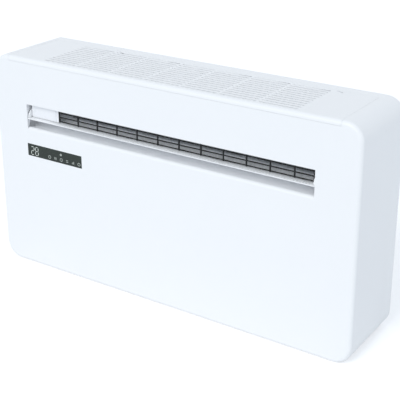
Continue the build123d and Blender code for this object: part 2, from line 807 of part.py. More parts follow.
def bulkhead(x):
    """Folded steel wall between the pan and the partition."""
    y0, y1 = pan_front_y + sheet + fit_gap, pan_rear_y - sheet - fit_gap
    z0 = pan_floor_z
    wall = block(x, x + sheet, y0, y1, z0, divider_z0)
    foot = block(x - flange, x, y0, y1 - flange, z0, z0 + sheet)
    head = block(x - flange, x, y0, y1 - flange, divider_z0 - sheet, divider_z0)
    pipe_y = coil_tube(-1, 0).position.Y
    return wall + foot + head - rod_x(x - 1, x + 3, pipe_y, low_pipe_z, thin_pipe_r + pipe_fit)


def back_plate():
    """Stamped back: a rim that closes the cover and a deeper field for the ducts and the bracket."""
    field_y = plate_y + sheet
    outer = rounded_outline(rim_inset)
    opening = rounded_outline(rim_inset + rim_width)
    wall_in = rounded_outline(rim_inset + rim_width + sheet)
    plate = along_y(outer, cover_rear_y, cover_rear_y + sheet) - along_y(opening, cover_rear_y - 1, back_y)
    plate += along_y(opening, plate_y, cover_rear_y + sheet) - along_y(wall_in, plate_y - 1, back_y)
    plate += along_y(opening, plate_y, field_y)
    for x in duct_xs:
        plate -= rod_y(x, plate_y - 1, field_y + 1, duct_z, duct_r + duct_wall + fit_gap)
    for x in hook_xs:
        plate -= block(x - hook_half - 2, x + hook_half + 2, plate_y - 1, field_y + 1, hook_z - 14,
                       hook_z + bracket_thick)
    plate -= rod_y(drain_x, plate_y - 1, field_y + 1, drain_z, drain_neck_r + fit_gap)
    plate -= rod_y(gland_x, plate_y - 1, field_y + 1, gland_z, gland_r + fit_gap)
    for x, z in screw_places():
        plate -= rod_y(x, cover_rear_y - 1, back_y, z, screw_r + 0.3)
    return plate


def back_screws():
    solids = []
    for x, z in screw_places():
        head_y = cover_rear_y + sheet
        shank = rod_y(x, cover_rear_y - 18, head_y, z, screw_r - 0.1)
        solids.append(shank + rod_y(x, head_y, back_y, z, screw_head_r))
    return solids


def wall_bracket():
    """Steel rail that is screwed to the wall; three hooks go through the back plate."""
    y0 = back_y - bracket_thick
    rail = block(-bracket_half, bracket_half, y0, back_y, bracket_z0, bracket_z1)
    lip_y = plate_y + sheet + 1
    rail += block(-bracket_half, bracket_half, lip_y, y0, bracket_z1 - bracket_thick, bracket_z1)
    hook_y = plate_y - fit_gap - bracket_thick
    for x in hook_xs:
        rail += block(x - hook_half, x + hook_half, hook_y, y0, hook_z, hook_z + bracket_thick - 0.1)
        tip_y = hook_y + bracket_thick
        rail += block(x - hook_half, x + hook_half, hook_y, tip_y, hook_z, hook_z + hook_rise)
    mid_z = (bracket_z0 + bracket_z1) / 2
    for dx in (-1, 1):
        for dz in (-1, 1):
            rail -= rod_y(dx * bracket_hole_dx / 2, y0 - 1, back_y + 1, mid_z + dz * bracket_hole_dz / 2 - 4,
                          bracket_hole_r)
    return rail


def duct_collars():
    """Plastic collars that the two wall ducts slide into."""
    solids = []
    for x in duct_xs:
        ring = rod_y(x, scroll_rear_y(), back_y - 1, duct_z, duct_r + duct_wall)
        ring += rod_y(x, plate_y - 2.5, plate_y, duct_z, duct_r + duct_wall + duct_flange)
        solids.append(ring - rod_y(x, plate_y - 6, back_y + 1, duct_z, duct_r))
    return solids


def drain_spigot():
    """Condensate outlet from the pan through the back plate."""
    y1 = pan_rear_y - sheet - fit_gap
    tube = rod_y(drain_x, plate_y, back_y, drain_z, drain_r)
    tube += rod_y(drain_x, y1 - 1, plate_y + sheet + 0.5, drain_z, drain_neck_r)
    tube += rod_y(drain_x, y1 - 3, y1, drain_z, drain_neck_r + 3)
    return tube - rod_y(drain_x, y1 - 4, back_y + 1, drain_z, drain_r - 2)


def cable_gland():
    """Inlet for the supply cable: a nut inside, a dome outside."""
    body = rod_y(gland_x, plate_y - 8, plate_y + 8, gland_z, gland_r)
    hexagon = extrude(RegularPolygon(gland_r + 4, 6), amount=2, both=True)
    nut = Pos(gland_x, plate_y - 2, gland_z) * Rot(90, 0, 0) * hexagon
    dome = rod_y(gland_x, plate_y + sheet, plate_y + 8, gland_z, gland_r + 2.5)
    return body + nut + dome - rod_y(gland_x, plate_y - 9, plate_y + 9, gland_z, 4.0)


def condenser_core():
    y1 = condenser_y0 + condenser_thick
    return block(condenser_x0, condenser_x1, condenser_y0, y1, pan_floor_z, condenser_top)


def condenser_bends():
    """Return bends on the left end of the condenser."""
    solids = []
    for row in (0.25, 0.75):
        for i in range(5):
            z = pan_floor_z + 40 + i * 2.5 * tube_pitch
            y = condenser_y0 + row * condenser_thick
            turn = Rot(0, 0, 90) * bend(tube_pitch, tube_pitch / 2, tube_r)
            solids.append(Pos(condenser_x0, y, z) * Rot(90, 0, 0) * turn)
    return solids


def condenser_shroud():
    """Sheet frame that ties the condenser to the air inlet in the back plate."""
    y0, y1 = condenser_y0 + condenser_thick, plate_y - 5.0
    ring = block(condenser_x0, condenser_x1, y0, y1, pan_floor_z, condenser_top)
    return ring - block(condenser_x0 + sheet, condenser_x1 - sheet, y0 - 1, y1 + 1, pan_floor_z + sheet,
                        condenser_top - sheet)


def volute_outline():
    """Growing spiral round the impeller that opens into the box in front of the exhaust duct."""
    cx, cz = volute_x, duct_z

    def at(r, angle):
        return cx + r * math.cos(math.radians(angle)), cz + r * math.sin(math.radians(angle))

    top_r = volute_box_top - cz
    with BuildSketch() as outline:
        with BuildLine():
            ThreePointArc(at(93, -45), at(94.5, -67), at(96, -90))
            ThreePointArc(at(96, -90), at(100, -135), at(104, 180))
            ThreePointArc(at(104, 180), at(109, 135), (cx, cz + top_r))
            right, low = volute_box_right, volute_box_bottom
            Polyline((cx, cz + top_r), (right, volute_box_top), (right, low), (at(93, -45)[0] + 14, low),
                     at(93, -45))
        make_face()
    return outline.sketch


def scroll_front():
    """Front plate of the fan housing, with the hole for the inlet ring."""
    skin = offset(volute_outline(), amount=volute_wall)
    plate = along_y(skin, volute_y0, volute_y0 + volute_wall)
    return plate - rod_y(volute_x, volute_y0 - 1, volute_y0 + volute_wall + 1, duct_z, impeller_eye_r + 4)


def scroll_rear():
    """Rear plate of the fan housing, with the exhaust opening; it carries the motor."""
    skin = offset(volute_outline(), amount=volute_wall)
    y1 = scroll_rear_y()
    plate = along_y(skin, y1 - volute_wall, y1)
    return plate - rod_y(duct_xs[1], y1 - volute_wall - 1, y1 + 1, duct_z, duct_r + scroll_hole_gap)


def scroll_rear_y():
    return plate_y - duct_seat


def outdoor_scroll():
    """The spiral wall between the two plates, on two legs."""
    inside = volute_outline()
    skin = offset(inside, amount=volute_wall)
    y0, y1 = volute_y0 + volute_wall, scroll_rear_y() - volute_wall
    housing = along_y(skin, y0, y1) - along_y(inside, y0 - 1, y1 + 1)
    for x in (volute_x - 4, volute_box_right - 40):
        low = duct_z - 96 if x < volute_box_right - 60 else volute_box_bottom
        housing += block(x, x + 8, y0 + 5, y1 - 5, pan_floor_z, low - volute_wall + 0.5)
    return housing


def inlet_ring():
    """Flared ring that leads the air into the impeller's eye."""
    y0, y1 = volute_y0 - 6.0, impeller_front - 1
    eye = impeller_eye_r
    with BuildSketch(Plane.XY) as section:
        with BuildLine():
            wall_y = volute_y0
            neck = eye + 2
            seat = eye + 3.6
            Polyline((eye, y1), (eye, wall_y + 4), (eye + 8, y0), (eye + 16, y0), (eye + 16, wall_y),
                     (seat, wall_y), (seat, wall_y + 6), (neck, wall_y + 6), (neck, y1), (eye, y1))
        make_face()
    return Pos(volute_x, 0, duct_z) * revolve(section.sketch, Axis.Y)


def outdoor_impeller():
    """Backward-curved centrifugal wheel: stepped hub plate, blades and front ring."""
    bore, back = shaft_r + seat_fit, impeller_back
    nose, plate = hub_front(), outdoor_motor_front - 9
    hub = [(bore, nose), (14, nose), (14, plate), (48, plate), (52, back - 2), (impeller_r, back - 2),
           (impeller_r, back), (50.4, back), (46.4, plate + 2.5), (bore, plate + 2.5)]
    wheel = revolve(polygon(hub), Axis.Y)
    ring_r = impeller_eye_r + 2 + ring_clearance
    wheel += rod_y(0, impeller_front, impeller_front + 2, 0, impeller_r) - \
        rod_y(0, impeller_front - 1, impeller_front + 3, 0, ring_r)
    with BuildSketch() as blade:
        with BuildLine():
            ThreePointArc((56, 0), (70, 9), (impeller_r - 1, 30))
            Line((impeller_r - 1, 30), (impeller_r - 2.6, 31.2))
            ThreePointArc((impeller_r - 2.6, 31.2), (69, 10.8), (55.2, 1.8))
            Line((55.2, 1.8), (56, 0))
        make_face()
    one = along_y(blade.sketch, impeller_front + 1, impeller_back - 1)
    wheel += [Rot(0, 360 * k / impeller_blades, 0) * one for k in range(impeller_blades)]
    return Pos(volute_x, 0, duct_z) * wheel


def hub_front():
    return outdoor_motor_front - 16


def outdoor_fan_shaft():
    """Motor shaft through the impeller's hub, with its nut."""
    hexagon = extrude(RegularPolygon(7.5, 6), amount=3, both=True)
    nut = Pos(volute_x, hub_front() - 4, duct_z) * Rot(90, 0, 0) * hexagon
    return rod_y(volute_x, hub_front() - 8, outdoor_motor_front + 10, duct_z, shaft_r) + nut


def outdoor_fan_motor():
    """Flat motor on the rear wall of the housing, inside the impeller's hub."""
    y1 = scroll_rear_y() - volute_wall
    body = rod_y(volute_x, outdoor_motor_front, y1, duct_z, outdoor_motor_r)
    front_edge = body.edges().sort_by(Axis.Y)[0]
    body = chamfer(front_edge, 4)
    front = outdoor_motor_front
    return body - rod_y(volute_x, front - 1, front + 12, duct_z, shaft_r + pivot_fit)


def domed_can(r, height, low_corner, high_corner):
    """A pressed can whose corners are turned in three steps, standing on Z = 0."""
    def corner(size, z, sign):
        turns = [math.radians(a) for a in (0, 30, 60, 90)]
        return [(r - size + size * math.cos(t), z + sign * (size * math.sin(t) - size)) for t in turns]

    points = [(0, 0)] + corner(low_corner, 0, -1)[::-1] + corner(high_corner, height, 1) + [(0, height)]
    return revolve(Plane.XZ * polygon(points), Axis.Z)


def compressor():
    """Welded can with domed ends, foot plate and terminal cap."""
    can = Pos(comp_x, comp_y, comp_bottom) * domed_can(comp_r, comp_height, 14, 24)
    foot_z = comp_foot_z()
    triangle = offset(Rot(0, 0, 180) * RegularPolygon(comp_foot_r, 3), amount=9)
    foot = extrude(Pos(comp_x, comp_y, foot_z) * triangle, amount=3)
    foot += rod_z(comp_x, comp_y, foot_z, comp_bottom + 6, comp_r - 16)
    can += foot
    can += rod_z(comp_x - 20, comp_y, comp_bottom + comp_height - 2, comp_bottom + comp_height + 14, 13)
    for x, y in comp_feet():
        can -= rod_z(x, y, foot_z - 1, foot_z + 4, 5)
    return can


def comp_foot_z():
    return comp_bottom - 8.0


def comp_feet():
    points = []
    for k in range(3):
        a = math.radians(180 + 120 * k)
        points.append((comp_x + (comp_foot_r - 5) * math.cos(a), comp_y + (comp_foot_r - 5) * math.sin(a)))
    return points


def compressor_grommets():
    """Rubber feet between the pan and the compressor's foot plate."""
    solids = []
    z0, z1 = pan_floor_z, comp_foot_z()
    for x, y in comp_feet():
        ring = rod_z(x, y, z0, z1, 9) + rod_z(x, y, z1, z1 + 5, 4.9)
        solids.append(ring - rod_z(x, y, z0 - 1, z1 + 6, 3.1))
    return solids


def compressor_bolts():
    solids = []
    for x, y in comp_feet():
        z1 = comp_foot_z() + 5
        bolt = rod_z(x, y, pan_floor_z, z1 + 6, 3.0) + rod_z(x, y, z1, z1 + 1.2, 8)
        nut = Pos(x, y, z1 + 1.2) * extrude(RegularPolygon(6, 6), amount=4)
        solids.append(bolt + nut)
    return solids


def accumulator():
    """Suction accumulator beside the compressor, with its strap."""
    tank = Pos(acc_x, acc_y, acc_bottom) * domed_can(acc_r, acc_height, 9, 9)
    dx, dy = comp_x - acc_x, comp_y - acc_y
    length = math.hypot(dx, dy)
    gap = length - comp_r - acc_r
    place = Pos(acc_x, acc_y, acc_bottom + acc_height * 0.6) * Rot(0, 0, math.degrees(math.atan2(dy, dx)))
    strap = place * Pos(acc_r + gap / 2 - 1, 0, 0) * Box(gap + 1.2, 16, 12)
    return tank + strap - rod_z(comp_x, comp_y, comp_bottom, comp_bottom + comp_height, comp_r + 0.2)


def valve_ports():
    """The three ports on top of the valve, from left to right."""
    return [comp_x + valve_offset + k * valve_pitch for k in (-1, 0, 1)]


def four_way_valve():
    """Brass valve body: three ports on top, the inlet underneath."""
    left, mid, right = valve_ports()
    body = rod_x(left - 14, right + 18, valve_y, valve_z, 10)
    for x in (left, mid, right):
        body += rod_z(x, valve_y, valve_z, valve_z + valve_stub, pipe_r + 1)
    return body + rod_z(mid, valve_y, valve_z - valve_stub, valve_z, pipe_r + 1)


def tube_along(points, radius, bend_r):
    """A pipe along straight runs joined by arcs."""
    path = FilletPolyline(*points, radius=bend_r)
    return sweep(Plane(origin=path @ 0, z_dir=path % 0) * Circle(radius), path=path)


def discharge_pipe():
    """From the compressor's lid to the underside of the valve."""
    top = comp_bottom + comp_height
    x, y = comp_x + 24, comp_y - 12
    mid = valve_ports()[1]
    end_z = valve_z - valve_stub
    rise = end_z - pipe_bend - 1
    points = [(x, y, top), (x, y, rise), (mid, valve_y, rise), (mid, valve_y, end_z)]
    return tube_along(points, pipe_r, pipe_bend)


def suction_pipe():
    """From the rear of the evaporator down through the partition to the valve."""
    end = coil_tube(-1, 7).position
    port = valve_ports()[2]
    top = valve_z + valve_stub
    turn = top + pipe_bend + pipe_r
    points = [(end.X, end.Y, end.Z), (riser_x, end.Y, end.Z), (riser_x, end.Y, turn),
              (riser_x, valve_y, turn), (port, valve_y, turn), (port, valve_y, top)]
    return tube_along(points, pipe_r, pipe_bend)


def liquid_pipe():
    """From the condenser along the pan, up through the partition to the front of the evaporator."""
    end = coil_tube(-1, 0).position
    y = condenser_y0 + condenser_thick / 4
    x = condenser_x1 + tube_pitch
    z = low_pipe_z
    points = [(condenser_x1, y, z), (x, y, z), (x, end.Y, z), (riser_x, end.Y, z),
              (riser_x, end.Y, end.Z), (end.X, end.Y, end.Z)]
    return tube_along(points, thin_pipe_r, pipe_bend)


def electrical_box():
    """Open tray for the controls, screwed to the left bulkhead."""
    x1 = bulkhead_left_x
    tray = block(box_x0, x1, box_y0, box_y1, box_z0, box_z1)
    z0, z1 = box_z0 + box_wall, box_z1 - box_wall
    tray -= block(box_x0 + box_wall, x1 - box_wall, box_y0 - 1, box_y1 - box_wall, z0, z1)
    for x, z in board_posts():
        tray += rod_y(x, box_y1 - box_wall - 10, box_y1 - box_wall, z, 4)
    return tray


def board_posts():
    x0, x1 = box_x0 + 14, bulkhead_left_x - 14
    return [(x, z) for x in (x0, x1) for z in (box_z0 + 30, box_z1 - 30)]


def electrical_lid():
    x1 = bulkhead_left_x
    lid = block(box_x0, x1, box_y0 - 1.5, box_y0, box_z0, box_z1)
    lid += block(box_x0 + box_wall + 0.3, x1 - box_wall - 0.3, box_y0, box_y0 + 6, box_z0 + box_wall + 0.3,
                 box_z0 + box_wall + 1.8)
    lid += block(box_x0 + box_wall + 0.3, x1 - box_wall - 0.3, box_y0, box_y0 + 6, box_z1 - box_wall - 1.8,
                 box_z1 - box_wall - 0.3)
    return lid


def control_board():
    """Circuit board with a transformer, relays and a heat sink."""
    x0, x1 = box_x0 + 6, bulkhead_left_x - 6
    y1 = box_y1 - box_wall - 10
    board = block(x0, x1, y1 - board_thick, y1, box_z0 + 18, box_z1 - 18)
    face = y1 - board_thick
    board += block(x0 + 12, x0 + 54, face - 34, face, box_z0 + 40, box_z0 + 84)
    board += block(x0 + 70, x0 + 122, face - 24, face, box_z0 + 44, box_z0 + 74)
    for k in range(4):
        z = box_z0 + 110 + k * 24
        board += block(x0 + 96, x0 + 124, face - 16, face, z, z + 15)
    for k in range(5):
        x = x0 + 16 + k * 9
        board += block(x, x + 3, face - 22, face, box_z0 + 150, box_z0 + 205)
    return board


def capacitor():
    """Motor run capacitor, clipped to the floor of the box."""
    x = box_x0 + 50
    return Pos(x, box_y0 + 50, box_z0 + box_wall) * domed_can(capacitor_r, capacitor_height, 1, 3)


def display_window():
    """Dark glass in the recess of the cover."""
    half_x = display_width / 2 - window_gap
    half_z = display_height / 2 - window_gap
    return block(display_x - half_x, display_x + half_x, front_y + window_gap, front_y + display_depth,
                 display_z - half_z, display_z + half_z)


def display_board():
    """Board with the digits, against the back of the cover."""
    y0 = inner_front_y + board_gap
    board = block(display_x - display_width / 2 - 4, display_x + display_width / 2 + 4, y0, y0 + board_thick,
                  display_z - display_height / 2 - 4, display_z + display_height / 2 + 4)
    board += block(display_x - 78, display_x - 52, y0 - 1.5, y0, display_z - 11, display_z + 11)
    return board


builders = {
    "front_cover": front_cover,
    "top_panel": top_panel,
    "filter_left": lambda: filter_frame(-1),
    "filter_right": lambda: filter_frame(1),
    "filter_mesh": filter_mesh,
    "flap_blade": flap_blade,
    "flap_pin": flap_pin,
    "flap_drive_shaft": flap_drive_shaft,
    "flap_motor": flap_motor,
    "outlet_guard": outlet_guard,
    "guard_end_cover": guard_end_cover,
    "air_guide": air_guide,
    "duct_ceiling": duct_ceiling,
    "room_fan_wheel": room_fan_wheel,
    "room_fan_shaft": room_fan_shaft,
    "room_fan_bearing": room_fan_bearing,
    "room_fan_motor": room_fan_motor,
    "motor_cradle": motor_cradle,
    "evaporator_core": evaporator_core,
    "evaporator_plates": evaporator_plates,
    "evaporator_bends": evaporator_bends,
    "drip_tray": drip_tray,
    "divider": divider,
    "base_pan": base_pan,
    "bulkhead_left": lambda: bulkhead(bulkhead_left_x),
    "bulkhead_right": lambda: bulkhead(bulkhead_right_x),
    "back_plate": back_plate,
    "back_screws": back_screws,
    "wall_bracket": wall_bracket,
    "duct_collars": duct_collars,
    "drain_spigot": drain_spigot,
    "cable_gland": cable_gland,
    "condenser_core": condenser_core,
    "condenser_bends": condenser_bends,
    "condenser_shroud": condenser_shroud,
    "scroll_front": scroll_front,
    "outdoor_scroll": outdoor_scroll,
    "scroll_rear": scroll_rear,
    "inlet_ring": inlet_ring,
    "outdoor_impeller": outdoor_impeller,
    "outdoor_fan_shaft": outdoor_fan_shaft,
    "outdoor_fan_motor": outdoor_fan_motor,
    "compressor": compressor,
    "compressor_grommets": compressor_grommets,
    "compressor_bolts": compressor_bolts,
    "accumulator": accumulator,
    "four_way_valve": four_way_valve,
    "discharge_pipe": discharge_pipe,
    "suction_pipe": suction_pipe,
    "liquid_pipe": liquid_pipe,
    "electrical_box": electrical_box,
    "electrical_lid": electrical_lid,
    "control_board": control_board,
    "capacitor": capacitor,
    "display_window": display_window,
    "display_board": display_board,
}

os.makedirs("parts", exist_ok=True)
for name, build in builders.items():
    made = build()
    shape = Compound(children=list(made)) if isinstance(made, list) else made
    export_step(shape, f"parts/{name}.step")
    print(name)
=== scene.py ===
import math

import bmesh
import bpy
import numpy as np
from bpy.props import FloatProperty, FloatVectorProperty, IntProperty, PointerProperty
from mathutils import Matrix, Vector


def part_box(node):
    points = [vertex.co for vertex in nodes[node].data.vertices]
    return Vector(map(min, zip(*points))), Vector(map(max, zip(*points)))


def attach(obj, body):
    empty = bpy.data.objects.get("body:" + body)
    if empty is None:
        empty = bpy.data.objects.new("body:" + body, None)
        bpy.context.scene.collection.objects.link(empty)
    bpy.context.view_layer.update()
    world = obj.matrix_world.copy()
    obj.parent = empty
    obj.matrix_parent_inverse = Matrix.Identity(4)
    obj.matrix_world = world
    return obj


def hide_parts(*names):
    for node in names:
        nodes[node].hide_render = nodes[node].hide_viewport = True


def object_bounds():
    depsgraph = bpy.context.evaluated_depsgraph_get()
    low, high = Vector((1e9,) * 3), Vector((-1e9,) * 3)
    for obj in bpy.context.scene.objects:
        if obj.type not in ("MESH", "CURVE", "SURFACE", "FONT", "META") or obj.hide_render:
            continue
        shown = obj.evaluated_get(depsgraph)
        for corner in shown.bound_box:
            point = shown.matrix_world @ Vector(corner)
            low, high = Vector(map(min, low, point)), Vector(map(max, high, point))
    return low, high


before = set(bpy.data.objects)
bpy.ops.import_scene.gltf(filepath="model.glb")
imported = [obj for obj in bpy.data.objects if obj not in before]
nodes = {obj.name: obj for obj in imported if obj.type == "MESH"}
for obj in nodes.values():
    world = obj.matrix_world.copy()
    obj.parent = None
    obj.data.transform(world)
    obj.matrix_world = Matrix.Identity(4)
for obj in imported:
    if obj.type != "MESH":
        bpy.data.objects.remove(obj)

bl_info = {
    "name": "Wall air conditioner, dressed",
    "version": (1, 0, 0),
    "blender": (4, 5, 0),
    "location": "3D View > Sidebar > Cooler",
    "description": "Adds the finishes and the fine moulded pieces to the packed air conditioner",
    "category": "Object",
}

MM = 0.001
cad_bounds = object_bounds()

MERGE_GAP = 1e-6        # metres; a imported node's corners that are closer than this are one
POINT_GAP = 1e-7        # the same for the points of a new piece's poles and seams
FOLD_ANGLE = 30         # degrees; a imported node's shell stays sharp where it folds by more
CREASE_ANGLE = 40       # the same for a new piece


# Meshes

def grid_faces(rows, cols, wrap_cols=False):
    """Quads over a grid of rows by cols points, row after row; wrap_cols joins the last column to
    the first."""
    here = np.arange(rows - 1)[:, None] * cols
    above = here + cols
    c = np.arange(cols if wrap_cols else cols - 1)[None, :]
    beside = (c + 1) % cols
    quads = np.broadcast_arrays(here + c, here + beside, above + beside, above + c)
    return np.stack(quads, -1).reshape(-1, 4)


def repeated(faces, points_each, copies):
    """The same faces for each of many copies whose points follow one another."""
    shift = np.arange(copies)[:, None, None] * points_each
    return (faces[None] + shift).reshape(-1, faces.shape[1])


def shade_smooth(mesh, angle):
    """Smooth shading over every edge that folds by less than the angle, in degrees."""
    mesh.polygons.foreach_set("use_smooth", [True] * len(mesh.polygons))
    mesh.set_sharp_from_angle(angle=math.radians(angle))


def new_piece(name, points, faces, finish, body, smooth=True, stands_for=()):
    """Makes an object from arrays, closes its poles and turns its faces outwards."""
    mesh = bpy.data.meshes.new(name)
    mesh.from_pydata(points.reshape(-1, 3).tolist(), [], faces.tolist())
    shape = bmesh.new()
    shape.from_mesh(mesh)
    bmesh.ops.remove_doubles(shape, verts=shape.verts, dist=POINT_GAP)
    bmesh.ops.dissolve_degenerate(shape, edges=shape.edges, dist=POINT_GAP / 10)
    bmesh.ops.recalc_face_normals(shape, faces=shape.faces)
    shape.to_mesh(mesh)
    shape.free()
    if smooth:
        shade_smooth(mesh, CREASE_ANGLE)
    return placed(name, mesh, finish, body, stands_for)


def placed(name, mesh, finish, body, stands_for=()):
    """Makes an object of a mesh, ties it to its body and hides the imported nodes it replaces."""
    piece = bpy.data.objects.new(name, mesh)
    bpy.context.scene.collection.objects.link(piece)
    mesh.materials.clear()
    mesh.materials.append(finish)
    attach(piece, body)
    if stands_for:
        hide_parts(*stands_for)
    return piece


def merged_copy(node, name, hidden=None):
    """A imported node's mesh with its triangles merged, so that its rounded edges shade smoothly, and
    without the faces that hidden picks."""
    mesh = nodes[node].data.copy()
    mesh.name = name
    shape = bmesh.new()
    shape.from_mesh(mesh)
    bmesh.ops.remove_doubles(shape, verts=shape.verts, dist=MERGE_GAP)
    if hidden:
        unseen = [face for face in shape.faces if hidden(face)]
        bmesh.ops.delete(shape, geom=unseen, context="FACES")
    shape.to_mesh(mesh)
    shape.free()
    shade_smooth(mesh, FOLD_ANGLE)
    return mesh


def smooth_shell(node, name, finish, body):
    """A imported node's own shape as one evenly shaded shell."""
    piece = placed(name, merged_copy(node, name), finish, body, (node,))
    weighted = piece.modifiers.new("Even shading", "WEIGHTED_NORMAL")
    weighted.keep_sharp = True
    weighted.weight = 100
    return piece


def soft_blocks(centres, halves, section, ends, around, along, axis):
    """Superellipsoids: along the axis at sign(sin v)|sin v|^(2/ends), with a section of half sizes
    times sign(cos u)|cos u|^(2/section) and sign(sin u)|sin u|^(2/section), shrunk by
    |cos v|^(2/ends). Each has around by along points."""
    def power(value, exponent):
        return np.sign(value) * np.abs(value) ** exponent

    centres, halves = np.broadcast_arrays(np.asarray(centres, float), np.asarray(halves, float))
    u = np.linspace(0, 2 * np.pi, around, endpoint=False)[None, :]
    v = np.linspace(-np.pi / 2, np.pi / 2, along)[:, None]
    shrink = np.abs(np.cos(v)) ** (2 / ends)
    shrink[0] = shrink[-1] = 0
    first = shrink * power(np.cos(u), 2 / section)
    second = shrink * power(np.sin(u), 2 / section)
    third = power(np.sin(v), 2 / ends) + 0 * u
    unit = np.roll(np.stack([first, second, third], -1), (axis + 1) % 3, axis=-1)
    points = centres[:, None, None, :] + halves[:, None, None, :] * unit[None]
    faces = repeated(grid_faces(along, around, True), along * around, len(centres))
    return points.reshape(-1, 3), faces


def plain_blocks(low, high):
    """Boxes from arrays of low and high corners: each corner is low + (high - low) * (i, j, k),
    with i, j and k at 0 or 1."""
    pick = np.array([[i, j, k] for i in (0, 1) for j in (0, 1) for k in (0, 1)])
    low, high = np.broadcast_arrays(np.asarray(low, float), np.asarray(high, float))
    points = low[:, None, :] + (high - low)[:, None, :] * pick[None]
    faces = np.array([[0, 1, 3, 2], [4, 6, 7, 5], [0, 4, 5, 1],
                      [2, 3, 7, 6], [0, 2, 6, 4], [1, 5, 7, 3]])
    return points.reshape(-1, 3), repeated(faces, 8, len(low))


def as_array(items, key, width=1, kind=float):
    """One property of a mesh's items as an array, with a row for each item if width is over 1."""
    values = np.zeros(len(items) * width, kind)
    items.foreach_get(key, values)
    return values.reshape(-1, width) if width > 1 else values


def joined(*shapes):
    """Several (points, faces) pairs as one."""
    counts = np.cumsum([0] + [len(p) for p, _ in shapes])
    return (np.concatenate([p for p, _ in shapes]),
            np.concatenate([f + n for (_, f), n in zip(shapes, counts)]))


def turned_about_x(points, y, z, angle):
    """Points turned by an angle about the X line through (y, z), where they come to
    y + cos dy - sin dz and z + sin dy + cos dz."""
    c, s = math.cos(angle), math.sin(angle)
    dy, dz = points[..., 1] - y, points[..., 2] - z
    return np.stack([points[..., 0], y + c * dy - s * dz, z + s * dy + c * dz], -1)


# Finishes

MIX_FACTOR, MIX_FIRST, MIX_SECOND, MIX_RESULT = 0, 6, 7, 2      # colour sockets of a Mix node


class Value:
    """A socket that can be used in sums, differences and products."""

    def __init__(self, finish, socket):
        self.finish, self.socket = finish, socket

    def _math(self, operation, a, b, clamp=False):
        settings = {"operation": operation, "use_clamp": clamp}
        return self.finish.node("ShaderNodeMath", settings, {0: a, 1: b})

    def __add__(self, other):
        return self._math("ADD", self, other)

    def __radd__(self, other):
        return self._math("ADD", other, self)

    def __sub__(self, other):
        return self._math("SUBTRACT", self, other)

    def __rsub__(self, other):
        return self._math("SUBTRACT", other, self)

    def __mul__(self, other):
        return self._math("MULTIPLY", self, other)

    def __rmul__(self, other):
        return self._math("MULTIPLY", other, self)

    def above(self, edge):
        """1 where the value is over the edge, and 0 elsewhere."""
        return self._math("GREATER_THAN", self, edge)

    def larger(self, other):
        """The larger of two values."""
        return self._math("MAXIMUM", self, other)

    def wave(self, pitch):
        """Zigzag from 0 to pitch / 2 and back over each pitch."""
        return self._math("PINGPONG", self, pitch / 2)

    def limited(self):
        """The value kept between 0 and 1."""
        return self._math("ADD", self, 0.0, True)


class Finish:
    """A material with one Principled shader, and short ways to add the nodes in front of it."""

    def __init__(self, name, **constants):
        self.material = bpy.data.materials.new(name)
        self.material.use_nodes = True
        self.tree = self.material.node_tree
        self.shader = self.tree.nodes["Principled BSDF"]
        self.set(**constants)

    def set(self, **values):
        """Sets the shader's sockets: base_color=..., roughness=... and so on."""
        for key, value in values.items():
            socket = key.replace("_", " ").title().replace("Ior", "IOR")
            self._feed(self.shader.inputs[socket], value)
        return self.material

    def _feed(self, socket, value):
        """Links a value to a socket, or sets a number or colour on it."""
        if isinstance(value, Value):
            self.tree.links.new(value.socket, socket)
        elif isinstance(value, (tuple, list)) and len(value) == 3 and socket.type == "RGBA":
            socket.default_value = (*value, 1.0)
        else:
            socket.default_value = value

    def node(self, kind, settings=None, inputs=None, out=0):
        """Adds any node: its type, its settings, what its sockets get, and which output is used."""
        made = self.tree.nodes.new(kind)
        for key, value in (settings or {}).items():
            setattr(made, key, value)
        for key, value in (inputs or {}).items():
            self._feed(made.inputs[key], value)
        return Value(self, made.outputs[out])

    def place(self):
        """Object coordinates."""
        return self.node("ShaderNodeTexCoord", out="Object")

    def axes(self):
        """X, Y and Z of the point, in metres."""
        split = self.node("ShaderNodeSeparateXYZ", inputs={0: self.place()}).socket.node
        return [Value(self, output) for output in split.outputs]

    def noise(self, scale, detail=2.0, roughness=0.5):
        """Cloudy noise from 0 to 1, with scale lumps to the metre."""
        inputs = {"Vector": self.place(), "Scale": scale, "Detail": detail, "Roughness": roughness}
        return self.node("ShaderNodeTexNoise", inputs=inputs)

    def stretched_noise(self, scale, stretch, detail=2.0):
        """Noise drawn out along the axes: the smaller a number in stretch, the longer its lumps."""
        moved = self.node("ShaderNodeMapping", inputs={"Vector": self.place(), "Scale": stretch})
        inputs = {"Vector": moved, "Scale": scale, "Detail": detail}
        return self.node("ShaderNodeTexNoise", inputs=inputs)

    def cells(self, scale, feature="F1", out="Distance"):
        """Cells round scattered points, scale to the metre."""
        return self.node("ShaderNodeTexVoronoi", {"feature": feature},
                         {"Vector": self.place(), "Scale": scale}, out)

    def mix(self, factor, first, second):
        """The first colour where the factor is 0 and the second where it is 1."""
        return self.node("ShaderNodeMix", {"data_type": "RGBA"},
                         {MIX_FACTOR: factor, MIX_FIRST: first, MIX_SECOND: second}, MIX_RESULT)

    def bump(self, height, depth, strength=1.0, after=None):
        """Relief of a height from 0 to 1 times the depth in metres, over the relief in after."""
        inputs = {"Height": height, "Distance": depth, "Strength": strength}
        if after is not None:
            inputs["Normal"] = after
        return self.node("ShaderNodeBump", inputs=inputs)


def shade(color, factor):
    """A colour made darker or lighter, each channel by the same factor."""
    return tuple(min(1.0, c * factor) for c in color)


